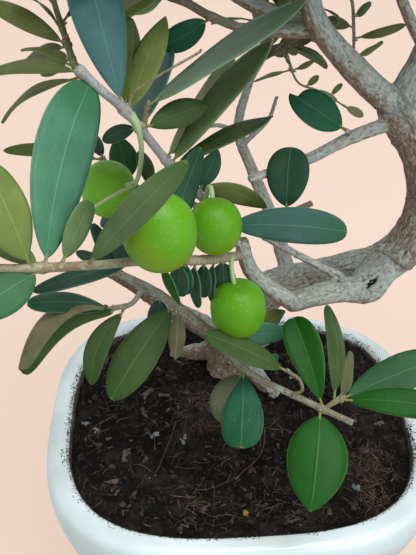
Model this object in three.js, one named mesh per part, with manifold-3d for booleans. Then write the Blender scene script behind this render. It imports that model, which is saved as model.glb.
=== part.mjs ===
// A small olive tree trained as a bonsai, standing in the soil of a white glazed pot.
// Millimetres, +Z up. The origin is the middle of the pot's flat underside. The boughs lean out towards -Y.
import * as THREE from "three";
import { mergeVertices } from "three/addons/utils/BufferGeometryUtils.js";
import Module from "manifold-3d";

const wasm = await Module();
wasm.setup();
const { Manifold } = wasm;

// Driving sizes
const GAP = 0.3;
const POT_HALF_WIDTH = 73.5;
const POT_HALF_DEPTH = 67;
const POT_HEIGHT = 72;
const POT_WALL = 6.5;
const POT_SQUARENESS = 3.1;
const BACK_DEPTH = 0.9;
const BACK_SKEW = 0.08;
const SOIL_LEVEL = 68;
const TRUNK_RADIUS = 6.9;
const LEAF_THICKNESS = 0.9;
const LEAF_LENGTH = 31;
const LEAF_ASPECT = 0.34;
const OLIVE_WIDTH = 18;
const OLIVE_STRETCH = 1.08;
const STALK_RADIUS = 0.8;
const GOLDEN_ANGLE = THREE.MathUtils.degToRad(137.5);
const UP = new THREE.Vector3(0, 0, 1);

const BARK = new THREE.MeshStandardMaterial({ color: "#8d8378", roughness: 0.9, metalness: 0 });
const LEAVES = new THREE.MeshStandardMaterial({ color: "#2f6b3f", roughness: 0.45, metalness: 0 });
const GLAZE = new THREE.MeshStandardMaterial({ color: "#e9efec", roughness: 0.25, metalness: 0 });
const SOIL = new THREE.MeshStandardMaterial({ color: "#2c2522", roughness: 1, metalness: 0 });

const tree = new THREE.Group();
const vector = ([x, y, z]) => new THREE.Vector3(x, y, z);

// A closed three.js geometry as a solid, with the vertices that it shares merged.
function solidOf(geometry) {
  const bare = geometry.index ? geometry.toNonIndexed() : geometry.clone();
  bare.deleteAttribute("normal");
  bare.deleteAttribute("uv");
  const merged = mergeVertices(bare, 1e-4);
  return new Manifold(
    new wasm.Mesh({
      numProp: 3,
      vertProperties: Float32Array.from(merged.attributes.position.array),
      triVerts: Uint32Array.from(merged.index.array),
    }),
  );
}

// A solid as one named mesh of the tree. A loose scrap that a cut or a join leaves is dropped.
function place(name, solid, material) {
  const [whole] = solid.decompose().sort((a, b) => b.volume() - a.volume());
  const { numProp, numVert, vertProperties, triVerts } = whole.getMesh();
  const positions = new Float32Array(numVert * 3);
  for (let i = 0; i < numVert; i++) {
    positions.set(vertProperties.subarray(i * numProp, i * numProp + 3), i * 3);
  }
  const geometry = new THREE.BufferGeometry();
  geometry.setAttribute("position", new THREE.BufferAttribute(positions, 3));
  geometry.setIndex(new THREE.BufferAttribute(triVerts, 1));
  geometry.computeVertexNormals();
  const mesh = new THREE.Mesh(geometry, material);
  mesh.name = name;
  tree.add(mesh);
  return whole;
}

// The same numbers from 0 to 1 on every run, for a seed of its own in each mass.
function seeded(seed) {
  let state = seed >>> 0;
  return () => {
    state = (Math.imul(state, 1664525) + 1013904223) >>> 0;
    return state / 4294967296;
  };
}

const curveThrough = (points) => new THREE.CatmullRomCurve3(points.map(vector), false, "catmullrom", 0.5);

// A round limb along a curve: a cylinder whose rings are moved onto the curve. radiusAt(share, angle) is in
// mm, and both of its ends can be made longer.
function limbSolid(curve, radiusAt, sides, steps, longer = 0) {
  const { tangents, normals, binormals } = curve.computeFrenetFrames(steps, false);
  const geometry = new THREE.CylinderGeometry(1, 1, 1, sides, steps);
  const position = geometry.attributes.position;
  const point = new THREE.Vector3();
  for (let i = 0; i < position.count; i++) {
    point.fromBufferAttribute(position, i);
    const step = Math.round((0.5 - point.y) * steps);
    const angle = Math.atan2(point.z, point.x);
    const out = Math.hypot(point.x, point.z) * radiusAt(step / steps, angle);
    const beyond = step === steps ? longer : step === 0 ? -longer : 0;
    point
      .copy(curve.getPointAt(step / steps))
      .addScaledVector(tangents[step], beyond)
      .addScaledVector(normals[step], -out * Math.cos(angle))
      .addScaledVector(binormals[step], out * Math.sin(angle));
    position.setXYZ(i, point.x, point.y, point.z);
  }
  const solid = solidOf(geometry);
  return solid.volume() > 0 ? solid : solidOf(turnedInsideOut(geometry));
}

function turnedInsideOut(geometry) {
  const turned = geometry.toNonIndexed();
  const array = turned.attributes.position.array;
  for (let i = 0; i < array.length; i += 9) {
    const second = array.slice(i + 3, i + 6);
    array.copyWithin(i + 3, i + 6, i + 9);
    array.set(second, i + 6);
  }
  return turned;
}

// The pot and the soil are turned profiles, squared off to a superellipse with soft corners.
function squaredLathe(profile, segments) {
  const geometry = new THREE.LatheGeometry(
    profile.map(([r, z]) => new THREE.Vector2(r, z)),
    segments,
  );
  geometry.rotateX(Math.PI / 2);
  const position = geometry.attributes.position;
  for (let i = 0; i < position.count; i++) {
    const x = position.getX(i);
    const y = position.getY(i);
    const r = Math.hypot(x, y);
    if (r < 1e-6) continue;
    const n = POT_SQUARENESS;
    const reach = (Math.abs(x / r) ** n + Math.abs(y / r) ** n) ** (-1 / n);
    const back = y > 0 ? BACK_DEPTH - (BACK_SKEW * x * reach) / POT_HALF_WIDTH : 1;
    position.setXY(i, x * reach, (y * reach * back * POT_HALF_DEPTH) / POT_HALF_WIDTH);
  }
  const solid = solidOf(geometry);
  return solid.volume() > 0 ? solid : solidOf(turnedInsideOut(geometry));
}

// The wall from the inner floor to the rim, as half-widths at each height
const RIM_INSIDE = POT_HALF_WIDTH - POT_WALL;
const FLOOR_THICKNESS = 8;
const innerWall = [
  [50, FLOOR_THICKNESS],
  [55.5, FLOOR_THICKNESS + 5],
  [62, 38],
  [RIM_INSIDE - 1.2, POT_HEIGHT - 5],
];
const outerWall = [
  [52, 0],
  [56, 1.5],
  [60.5, 9],
  [68, 30],
  [73.8, 50],
  [75.8, 61],
  [75.6, 67.5],
  [POT_HALF_WIDTH + 0.9, POT_HEIGHT - 1],
];
const POT_SEGMENTS = 40;

place(
  "pot",
  squaredLathe(
    [
      [0, 0],
      ...outerWall,
      [POT_HALF_WIDTH - 0.8, POT_HEIGHT],
      [RIM_INSIDE + 1, POT_HEIGHT],
      [RIM_INSIDE, POT_HEIGHT - 0.8],
      ...innerWall.toReversed(),
      [0, FLOOR_THICKNESS],
    ],
    POT_SEGMENTS,
  ),
  GLAZE,
);

const soilSide = innerWall.slice(0, 3).map(([r, z]) => [r - 2 * GAP, z + GAP]);
place(
  "soil",
  squaredLathe(
    [
      [0, FLOOR_THICKNESS + GAP],
      ...soilSide,
      [RIM_INSIDE - 1.8, SOIL_LEVEL - 2.5],
      [RIM_INSIDE - 7, SOIL_LEVEL],
      [0, SOIL_LEVEL],
    ],
    POT_SEGMENTS,
  ),
  SOIL,
);

// The trunk leaves the soil behind the middle of the pot, lies over to the right, and turns up to its fork.
const trunkPath = [
  [0, 28, 60],
  [1, 26, 78],
  [4, 22, 100],
  [14, 17, 117],
  [28, 12, 125],
  [41, 6, 132],
  [53, 2, 139],
  [60.5, 0, 152],
  [61.5, 0, 168],
  [56, 0, 184],
  [47, 0, 199],
];
const rootPaths = [
  { path: [[-2, 29, 84], [-9, 32, 74], [-17, 36, 69.5], [-26, 40, 66]], from: 7.5, to: 2.5 },
  { path: [[2, 26, 84], [7, 20, 75], [12, 15, 70], [18, 10, 66]], from: 7.5, to: 2.5 },
  { path: [[1, 29, 84], [8, 35, 75], [15, 42, 70], [22, 47, 66]], from: 7, to: 2.5 },
];
const ROOT_FLARE = 5.5;
const FLARE_LENGTH = 0.16;
const FORK_SWELLING = 1.3;
const THICK_BOUGH = 4;
const BOUGH_STEP = 8;

function trunkRadius(share, angle) {
  const flare = ROOT_FLARE * Math.exp(-share / FLARE_LENGTH);
  const ribs = 1 + 0.05 * Math.cos(3 * angle + 5 * share) + 0.03 * Math.cos(5 * angle - 7 * share);
  const bend = 0.6 * Math.exp(-(((share - 0.62) / 0.1) ** 2));
  const fork = FORK_SWELLING * Math.exp(-(((share - 0.97) / 0.06) ** 2));
  return (TRUNK_RADIUS + flare + bend + fork - 0.6 * share) * ribs;
}

function trunkSolid(grownBy) {
  const radius = (share, angle) => trunkRadius(share, angle) + grownBy;
  let solid = limbSolid(curveThrough(trunkPath), radius, 12, 26, grownBy);
  for (const { path, from, to } of rootPaths) {
    const rootRadius = (share) => from + (to - from) * Math.sqrt(share) + grownBy;
    solid = solid.add(limbSolid(curveThrough(path), rootRadius, 8, 5, grownBy));
  }
  const below = new THREE.BoxGeometry(200, 200, 60);
  below.translate(0, 0, SOIL_LEVEL + GAP - 30);
  return solid.subtract(solidOf(below));
}

// Each bough is one limb: points from where it leaves its parent to its tip, and its two radii.
const boughs = {
  bough_front: {
    path: [[54, 1, 139], [43, -8, 135], [31, -14, 138], [13, -24, 141]],
    from: 5.4,
    to: 3.2,
    knob: 0.28,
  },
  bough_front_end: {
    path: [[14, -23.5, 141], [6, -22.5, 147], [0, -22, 154], [-3, -23, 165]],
    from: 2.9,
    to: 2.4,
  },
  bough_front_twig: {
    path: [[34, -9, 140], [25, -14, 148], [14, -20, 158], [3, -26, 168]],
    from: 1.5,
    to: 1.1,
  },
  bough_low_left: {
    path: [[-3, 28, 84], [-17, 26, 96], [-29, 18, 111], [-38, 8, 127], [-46, -5, 143]],
    from: 5,
    to: 2,
  },
  bough_middle: {
    path: [[48, 0, 193], [31, -8, 191], [17, -14, 187], [-1, -20, 184]],
    from: 2.5,
    to: 1.3,
  },
  bough_back: {
    path: [[21, 15, 122], [16, 34, 138], [9, 46, 153], [3, 52, 170], [8, 55, 190]],
    from: 3.2,
    to: 1.5,
  },
  bough_upper_left: {
    path: [[47, 0, 197], [36, 0, 206], [19, -4, 224], [14, -5, 240], [12, -4, 254]],
    from: 4.6,
    to: 2.3,
  },
  bough_top_front: {
    path: [[21, -3, 222], [8, 0, 221], [-4, 3, 221.5]],
    from: 2.4,
    to: 1.5,
  },
  bough_left_back: {
    path: [[20, -3, 223], [7, 9, 224], [-7, 18, 230], [-22, 29, 240]],
    from: 2.8,
    to: 1.6,
  },
  bough_leader: {
    path: [[47, 0, 197], [54, 2, 212], [57, 4, 224], [54, 7, 242], [46, 8, 258]],
    from: 5.4,
    to: 2.6,
  },
  bough_leader_front: {
    path: [[54, 1, 213], [46, -2, 224], [40, -5, 234], [36, -8, 246]],
    from: 1.9,
    to: 1.3,
  },
  bough_right: {
    path: [[61, 1, 168], [76, 4, 178], [89, 5, 190], [99, 3, 203]],
    from: 3.3,
    to: 1.6,
  },
  bough_right_back: {
    path: [[57, 5, 226], [68, 18, 233], [78, 34, 243]],
    from: 2.6,
    to: 1.5,
  },
  bough_right_front: {
    path: [[57, 3, 219], [69, -10, 229], [80, -24, 241]],
    from: 2.6,
    to: 1.5,
  },
  bough_back_high: {
    path: [[51, 8, 248], [42, 24, 256], [30, 38, 265]],
    from: 2.1,
    to: 1.4,
  },
};

function boughRadius({ from, to, knob }) {
  return (share, angle) => {
    const knot = knob ? 1.6 * Math.exp(-(((share - knob) / 0.09) ** 2)) : 0;
    return from + (to - from) * share + knot * (1 + 0.3 * Math.cos(angle));
  };
}

const placed = [];
const limbCurves = {};

function placeOnce(name, solid, material) {
  const whole = place(name, solid, material);
  placed.push({ name, solid: whole, box: whole.boundingBox() });
}

placeOnce("trunk", trunkSolid(0), BARK);
const cutters = [trunkSolid(GAP)];
for (const [name, bough] of Object.entries(boughs)) {
  const curve = curveThrough(bough.path);
  const radius = boughRadius(bough);
  const sides = bough.from > THICK_BOUGH ? 9 : 7;
  const steps = Math.max(3, Math.round(curve.getLength() / BOUGH_STEP));
  let solid = limbSolid(curve, radius, sides, steps);
  for (const cutter of cutters) solid = solid.subtract(cutter);
  cutters.push(limbSolid(curve, (share, angle) => radius(share, angle) + GAP, sides, steps, GAP));
  limbCurves[name] = curve;
  placeOnce(name, solid, BARK);
}

// A leaf blade: an elliptic outline with its midrib raised above and below near the stalk.
const LEAF_OUTLINE = [
  [0.26, 0.42],
  [0.64, 0.46],
  [1, 0],
  [0.64, -0.46],
  [0.26, -0.42],
];
const SMALL_LEAF_OUTLINE = [
  [0.42, 0.5],
  [1, 0],
  [0.42, -0.5],
];
const MIDRIB_PEAK = 0.2;
const ROOT_START = 0.25;
const ROOT_FREE = 5;
const THREE_SIDED = 1.25;
const TWIG_STEP = 14;

function leafSolid({ base, axis, normal, length, width, outline }, grownBy = 0) {
  const side = axis.clone().cross(normal);
  const half = LEAF_THICKNESS / 2 + grownBy;
  const at = (along, across, above) =>
    base
      .clone()
      .addScaledVector(axis, along * length + ROOT_START)
      .addScaledVector(side, across * (width + 2 * grownBy))
      .addScaledVector(normal, above);
  const rim = [at(0, 0, 0), ...outline.map(([along, across]) => at(along, across, 0))];
  const top = at(MIDRIB_PEAK, 0, half);
  const under = at(MIDRIB_PEAK, 0, -half);
  const faces = rim.flatMap((point, i) => {
    const next = rim[(i + 1) % rim.length];
    return [top, point, next, under, next, point];
  });
  return solidOf(new THREE.BufferGeometry().setFromPoints(faces));
}

// heading is degrees round from +X, rise is degrees above level, and turn rolls the blade about its midrib.
function facedLeaf(base, heading, rise, length, width, turn) {
  const [h, r, t] = [heading, rise, turn].map(THREE.MathUtils.degToRad);
  const axis = new THREE.Vector3(Math.cos(h) * Math.cos(r), Math.sin(h) * Math.cos(r), Math.sin(r));
  const normal = UP.clone().addScaledVector(axis, -axis.z).normalize().applyAxisAngle(axis, t);
  return { base, axis, normal, length, width, outline: LEAF_OUTLINE };
}

function twigSolid({ curve, from, to }) {
  const steps = Math.max(2, Math.round(curve.getLength() / TWIG_STEP));
  return limbSolid(curve, (share) => THREE_SIDED * (from + (to - from) * share), 3, steps);
}

// An olive hangs on a thin stalk, whose path starts inside its twig.
function fruitSolid({ middle, width }) {
  const fruit = new THREE.IcosahedronGeometry(width / 2, 1);
  fruit.scale(1, 1, OLIVE_STRETCH);
  fruit.translate(...middle);
  return solidOf(fruit);
}

function oliveSolid(olive) {
  const curve = curveThrough([...olive.stalk, olive.middle]);
  return fruitSolid(olive).add(twigSolid({ curve, from: STALK_RADIUS, to: STALK_RADIUS }));
}

// The twigs that the front of the tree shows, by hand: a path, its two radii, and its leaves, each as
// [share along the twig, heading, rise, length, width, turn].
const frontMasses = {
  foliage_low_front: {
    twigs: [
      {
        path: [
          [-46.6, -6.2, 144], [-30, -15, 141], [-13, -29, 135],
          [0, -39, 128], [17, -52, 121], [28, -58, 121],
        ],
        from: 1.5,
        to: 1.1,
        leaves: [
          [0.21, -110, -15, 12, 8, -20],
          [0.27, -130, -28, 37, 14, -30],
          [0.29, -98, -60, 18, 7, 15],
          [0.39, -160, -75, 13, 7, -20],
          [0.46, 5, -5, 24, 8, 70],
          [0.51, 33, 5, 26, 9, 75],
          [0.59, -120, -30, 21, 11, -15],
          [0.62, -100, -30, 27, 14, 15],
          [0.81, 160, 32, 35, 8, -15],
          [0.9, -105, -26, 30, 17, 0],
          [0.92, 107, 35, 32, 11, -25],
          [0.94, 84, 32, 36, 10, 55],
          [0.95, 60, 15, 16, 8, 60],
          [0.96, 18, 22, 32, 12, 35],
          [0.97, -12, 8, 29, 10, 45],
        ],
      },
      {
        path: [[-34, -13, 141.6], [-38, -20, 140], [-44, -25, 142]],
        from: 1.1,
        to: 0.8,
        leaves: [
          [0.73, -120, -38, 27, 9, -25],
          [0.92, -131, 5, 41, 10, -15],
          [0.95, -150, 25, 30, 9, -15],
        ],
      },
    ],
  },
  foliage_front_left: {
    twigs: [
      {
        path: [
          [-5, -25.2, 161.2], [-16, -35, 166], [-28, -43, 172],
          [-44, -60, 182], [-66, -70, 189], [-78, -72, 196],
        ],
        from: 1.7,
        to: 0.8,
        leaves: [
          [0.43, -160, 0, 24, 7, -10],
          [0.59, 38, 31, 36, 10, 0],
          [0.69, 70, 33, 18, 6, 78],
          [0.73, 78, 33, 53, 18, 50],
          [0.76, -103, -6, 24, 9, -30],
          [0.78, -53, 75, 28, 11, 190],
          [0.9, -130, 15, 30, 10, 20],
          [0.93, 120, 30, 34, 11, -20],
          [1, 175, 25, 32, 10, 10],
        ],
      },
    ],
    olives: [
      { stalk: [[-32, -47, 174.5], [-31, -49, 181]], middle: [-27, -57, 189], width: 18.5 },
      { stalk: [[-6, -26, 161.8], [-6.5, -31, 160]], middle: [-4.5, -34, 147], width: 17 },
    ],
  },
  foliage_upper_left: {
    twigs: [
      {
        path: [
          [-3.3, -23.3, 166], [-14, -21, 178], [-23, -20, 188],
          [-35, -20, 205], [-42, -22, 213], [-47, -23, 219],
        ],
        from: 1.6,
        to: 1.2,
        leaves: [
          [0.3, 30, 60, 14, 6, 50],
          [0.31, 20, -25, 29, 9, 110],
          [0.38, 44, 38, 49, 12, -5],
          [0.4, 68, 15, 36, 12, 90],
          [0.4, 35, 10, 36, 9, 0],
          [0.51, 114, -15, 35, 17, 0],
          [0.62, 150, -18, 16, 7, -60],
          [0.66, 14, 32, 55, 12, 5],
          [0.66, 19, 11, 21, 8, 48],
          [0.7, 79, 8, 30, 14, -32],
          [0.74, 65, 36, 33, 10, -5],
          [0.81, 124, 61, 34, 14, -28],
        ],
      },
      {
        path: [[-43.5, -21, 214], [-49, -9, 214], [-54, 10, 218], [-58, 23, 225], [-61, 34, 232]],
        from: 1.2,
        to: 0.8,
        leaves: [
          [0.15, 168, -31, 30, 5, -15],
          [0.2, 159, -6, 26, 7, -25],
          [0.32, 139, -21, 16, 8, -50],
          [0.45, 148, 17, 30, 9, -35],
          [0.45, 142, -23, 22, 7, -35],
          [0.59, 133, 16, 22, 5, 5],
          [0.8, 30, 35, 30, 9, 20],
          [0.8, 175, 30, 30, 9, -20],
          [1, 100, 45, 30, 9, 0],
        ],
      },
      {
        path: [[-6, -22.6, 169.3], [-4, -14, 174.5], [-5, -5, 168], [-6, -2, 162]],
        from: 1,
        to: 0.7,
        leaves: [[0.98, -18, 3, 41, 11, 85]],
      },
    ],
    olives: [
      {
        stalk: [[-36, -20, 206], [-34, -15, 192], [-35, -5, 176], [-45, 7, 168]],
        middle: [-45, 7, 168],
        width: 18,
      },
      { stalk: [[-4.4, -10.5, 172.2], [-7.5, -12, 172]], middle: [-10, -13.5, 164], width: 17 },
    ],
  },
  foliage_top_front: {
    twigs: [
      {
        path: [
          [-5, 3.4, 221.7], [-11, 7, 223.8], [-17, 10, 226.5],
          [-24, 12, 229], [-38, 10, 237], [-50, 4, 248],
        ],
        from: 1.4,
        to: 0.9,
        leaves: [
          [0.18, 165, -25, 22, 10, -20],
          [0.38, 175, -10, 18, 6, -60],
          [0.42, 190, -25, 15, 7, -10],
        ],
        pairs: { after: 0.5, seed: 7 },
      },
      {
        path: [[-24, 12, 229], [-30, 0, 240], [-34, -12, 250]],
        from: 1.1,
        to: 0.8,
        pairs: { after: 0.2, seed: 37 },
      },
      {
        path: [[-34, 11, 234.5], [-38, 24, 246], [-46, 30, 256]],
        from: 1.1,
        to: 0.8,
        pairs: { after: 0.2, seed: 41 },
      },
      {
        path: [[-17, 10, 226.5], [-16, 10, 240], [-20, 6, 256]],
        from: 1.1,
        to: 0.8,
        pairs: { after: 0.3, seed: 43 },
      },
    ],
  },
  foliage_middle: {
    twigs: [
      {
        path: [[3, -25.6, 169.9], [8, -23.5, 172.5], [18.5, -19.7, 175.3]],
        from: 1.1,
        to: 0.9,
        leaves: [[0.75, 81, 28, 23, 13, 20]],
      },
    ],
  },
  foliage_inner: {
    twigs: [
      {
        path: [[30, -9.4, 193.2], [29, -12, 195]],
        from: 0.8,
        to: 0.6,
        leaves: [[0.5, 169, 31, 21, 12, -49]],
      },
    ],
  },
};

// The rest of the crown grows by rule: a stem carries on from its bough's tip towards its lean, with side
// twigs a golden angle apart, and opposite pairs of leaves that each stand a quarter turn from the last.
const crownMasses = {
  foliage_top: {
    bough: "bough_leader",
    lean: [-0.2, 0.1, 0.9],
    reach: 46,
    twigs: 8,
    seed: 3,
  },
  foliage_top_left: {
    bough: "bough_upper_left",
    lean: [-0.5, -0.1, 0.8],
    reach: 44,
    twigs: 8,
    seed: 5,
    olives: 1,
  },
  foliage_left_back: {
    bough: "bough_left_back",
    lean: [-0.7, 0.6, 0.4],
    reach: 42,
    twigs: 8,
    seed: 11,
    olives: 1,
  },
  foliage_leader_front: {
    bough: "bough_leader_front",
    lean: [-0.1, -0.6, 0.7],
    reach: 34,
    twigs: 5,
    seed: 13,
  },
  foliage_right: {
    bough: "bough_right",
    lean: [0.8, 0, 0.6],
    reach: 38,
    twigs: 8,
    seed: 17,
    mayHang: true,
  },
  foliage_right_back: {
    bough: "bough_right_back",
    lean: [0.5, 0.7, 0.5],
    reach: 40,
    twigs: 8,
    seed: 19,
    mayHang: true,
  },
  foliage_right_front: {
    bough: "bough_right_front",
    lean: [0.6, -0.7, 0.4],
    reach: 38,
    twigs: 8,
    seed: 23,
    olives: 1,
    mayHang: true,
  },
  foliage_back_high: {
    bough: "bough_back_high",
    lean: [-0.2, 0.8, 0.5],
    reach: 42,
    twigs: 8,
    seed: 29,
    olives: 2,
  },
  foliage_back: {
    bough: "bough_back",
    lean: [0.5, 0.5, 0.8],
    reach: 30,
    twigs: 5,
    seed: 31,
    mayHang: true,
  },
};

const CROWN_FLOOR = 232;
const CROWN_FLOOR_SLOPE = 0.235;
const TWIG_TILT = 48;
const LEAF_TILT = 52;
const PAIR_STEP = 11;
const OLIVE_DROP = 16;

// A direction that stands at a tilt from an axis, a given way round it.
function tiltedFrom(axis, tilt, around) {
  const across = Math.abs(axis.z) < 0.9 ? UP.clone() : new THREE.Vector3(1, 0, 0);
  across.addScaledVector(axis, -across.dot(axis)).normalize().applyAxisAngle(axis, around);
  const angle = THREE.MathUtils.degToRad(tilt);
  return axis.clone().multiplyScalar(Math.cos(angle)).addScaledVector(across, Math.sin(angle));
}

function growTwig(start, direction, length, lift, from, to) {
  const middle = start.clone().addScaledVector(direction, length * 0.5);
  const end = start.clone().addScaledVector(direction, length).addScaledVector(UP, lift * length);
  return { curve: new THREE.CatmullRomCurve3([start, middle, end]), from, to };
}

function pairedLeaves(curve, random, firstShare) {
  const leaves = [];
  const pairs = Math.max(2, Math.round((curve.getLength() * (1 - firstShare)) / PAIR_STEP));
  const start = random() * Math.PI;
  for (let pair = 0; pair < pairs; pair++) {
    const share = firstShare + ((1 - firstShare) * (pair + 0.6)) / pairs;
    const along = curve.getTangentAt(share);
    for (const side of [0, 1]) {
      const around = start + (pair * Math.PI) / 2 + side * Math.PI + (random() - 0.5) * 0.5;
      const axis = tiltedFrom(along, LEAF_TILT + (random() - 0.5) * 20, around);
      const roll = (random() - 0.5) * 0.7;
      const normal = along.clone().addScaledVector(axis, -along.dot(axis)).normalize();
      normal.applyAxisAngle(axis, roll);
      const length = LEAF_LENGTH * (0.72 + 0.45 * random()) * (share > 0.85 ? 0.8 : 1);
      const base = curve.getPointAt(share);
      leaves.push({ base, axis, normal, length, width: length * LEAF_ASPECT, outline: SMALL_LEAF_OUTLINE });
    }
  }
  return leaves;
}

function growMass({ bough, lean, reach, twigs: count, seed }) {
  const random = seeded(seed);
  const limb = limbCurves[bough];
  const onward = limb.getTangentAt(1);
  const start = limb.getPointAt(1).addScaledVector(onward, GAP);
  const direction = onward.clone().lerp(vector(lean).normalize(), 0.6).normalize();
  const radius = 0.85 * boughs[bough].to;
  const points = [
    start,
    start.clone().addScaledVector(onward, reach * 0.2),
    start.clone().addScaledVector(direction, reach * 0.6),
    start.clone().addScaledVector(direction, reach),
  ];
  const stem = { curve: new THREE.CatmullRomCurve3(points), from: radius, to: 0.8 };
  const twigs = [stem];
  for (let i = 0; i < count; i++) {
    const share = 0.12 + (0.78 * i) / count;
    const tilted = tiltedFrom(stem.curve.getTangentAt(share), TWIG_TILT, i * GOLDEN_ANGLE + random() * 0.6);
    const length = reach * (0.82 - 0.45 * share) * (0.8 + 0.35 * random());
    twigs.push(growTwig(stem.curve.getPointAt(share), tilted, length, 0.1, 1.1, 0.7));
  }
  return twigs.map((twig) => {
    const firstShare = twig === stem ? 0.3 : 0.2;
    return { ...twig, leaves: pairedLeaves(twig.curve, random, firstShare) };
  });
}

function boxesMeet(a, b) {
  return [0, 1, 2].every((axis) => a.min[axis] < b.max[axis] && b.min[axis] < a.max[axis]);
}

// An olive hangs straight down from each of a mass's side twigs, for placeMass to choose from.
function hangingOlives(twigs) {
  return twigs.slice(1).map(({ curve }) => {
    const { x, y, z } = curve.getPointAt(0.4);
    const stalk = [[x, y, z], [x, y, z - 0.4 * OLIVE_DROP]];
    return { stalk, middle: [x, y, z - OLIVE_DROP], width: OLIVE_WIDTH };
  });
}

// The blade beyond its root, which crosses nothing in its own mass either.
function freeBlade(leaf) {
  const base = leaf.base.clone().addScaledVector(leaf.axis, ROOT_FREE);
  return leafSolid({ ...leaf, base, length: leaf.length - ROOT_FREE });
}

// Joins one mass, with as many olives as it bears. A twig, leaf or olive that would touch what is there
// already, or hang too low, is skipped.
function placeMass(name, { twigs, olives, bears, mayHang, mayCross }) {
  const touches = (solid, others = placed) => {
    const box = solid.boundingBox();
    return others.some((other) => boxesMeet(box, other.box) && !solid.intersect(other.solid).isEmpty());
  };
  const hangs = ({ y, z }) => !mayHang && z < CROWN_FLOOR - CROWN_FLOOR_SLOPE * y;
  const kept = [];
  const keep = (solid) => kept.push({ solid, box: solid.boundingBox() });
  for (const [index, twig] of twigs.entries()) {
    const solid = twigSolid(twig);
    if (index > 0 && (touches(solid) || hangs(twig.curve.getPointAt(1)))) continue;
    keep(solid);
    for (const leaf of twig.leaves) {
      const tip = leaf.base.clone().addScaledVector(leaf.axis, leaf.length);
      const crosses = !mayCross && touches(freeBlade(leaf), kept);
      if (!crosses && !hangs(tip) && !touches(leafSolid(leaf, GAP))) keep(leafSolid(leaf));
    }
  }
  let borne = 0;
  for (const olive of olives) {
    const crosses = !mayCross && touches(fruitSolid(olive), kept);
    if (borne === bears || crosses || touches(oliveSolid(olive))) continue;
    keep(oliveSolid(olive));
    borne += 1;
  }
  placeOnce(name, Manifold.union(kept.map(({ solid }) => solid)), LEAVES);
}

for (const [name, { twigs, olives = [] }] of Object.entries(frontMasses)) {
  const shoots = twigs.map(({ path, from, to, leaves = [], pairs }) => {
    const curve = curveThrough(path);
    const faced = leaves.map(([share, ...facing]) => facedLeaf(curve.getPointAt(share), ...facing));
    if (pairs) faced.push(...pairedLeaves(curve, seeded(pairs.seed), pairs.after));
    return { curve, from, to, leaves: faced };
  });
  placeMass(name, { twigs: shoots, olives, bears: olives.length, mayHang: true, mayCross: true });
}
for (const [name, mass] of Object.entries(crownMasses)) {
  const twigs = growMass(mass);
  const { olives: bears = 0, mayHang } = mass;
  placeMass(name, { twigs, olives: hangingOlives(twigs), bears, mayHang, mayCross: false });
}

export default tree;
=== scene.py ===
"""The looks of a small olive bonsai in a white glazed pot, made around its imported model."""

import math
from functools import cache
from itertools import chain, product

import bmesh
import bpy
import numpy as np
from mathutils import Matrix, Quaternion, Vector, kdtree, noise


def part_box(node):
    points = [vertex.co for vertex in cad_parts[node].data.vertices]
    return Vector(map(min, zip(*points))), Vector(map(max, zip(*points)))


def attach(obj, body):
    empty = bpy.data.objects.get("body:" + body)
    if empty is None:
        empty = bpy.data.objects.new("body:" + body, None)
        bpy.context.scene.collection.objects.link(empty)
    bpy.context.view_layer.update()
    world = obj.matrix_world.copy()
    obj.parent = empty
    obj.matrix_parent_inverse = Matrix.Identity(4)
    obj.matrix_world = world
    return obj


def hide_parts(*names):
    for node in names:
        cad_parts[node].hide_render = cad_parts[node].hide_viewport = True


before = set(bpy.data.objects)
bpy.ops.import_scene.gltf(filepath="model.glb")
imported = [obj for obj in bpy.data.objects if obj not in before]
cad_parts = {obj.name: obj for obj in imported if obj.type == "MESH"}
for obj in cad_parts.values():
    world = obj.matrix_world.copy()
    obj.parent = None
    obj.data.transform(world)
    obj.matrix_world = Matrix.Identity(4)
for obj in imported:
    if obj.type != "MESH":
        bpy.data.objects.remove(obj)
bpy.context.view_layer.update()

# The pot: stoneware cast in a mould and dipped in white glaze, a rounded square whose wall leans out to a
# thick soft rim. One turned profile is squared off, so that its foot, wall and inside are a single skin.
MM = 0.001
POT_HALF_WIDTH = 73.5
POT_HALF_DEPTH = 67
POT_SQUARENESS = 3.1
POT_BACK_DEPTH = 0.9
POT_BACK_SKEW = 0.08
POT_FLOOR = 8
POT_STEPS = 80
FOOT = [(0, 0), (30, 0), (51.5, 0), (54.5, 0.7)]
OUTER_WALL = [(57, 3.5), (60.5, 10), (68, 30), (73.6, 49), (75.6, 60), (75.7, 67)]
RIM = [(75.1, 70), (73.6, 71.6), (71.5, 72), (69, 72), (67.5, 71.3), (66.7, 69.8)]
INNER_WALL = [(65.8, 66), (62, 38), (55.5, 13), (50, POT_FLOOR), (25, POT_FLOOR), (0, POT_FLOOR)]
GLAZE = (0.79, 0.885, 0.885)
GLAZE_POOLED = (0.70, 0.775, 0.77)
GLAZE_SPECK = (0.22, 0.18, 0.15)
GLAZE_PAINTED_SHADE = (0.60, 0.535, 0.485)
SOIL_STAIN = (0.085, 0.066, 0.050)


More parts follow.
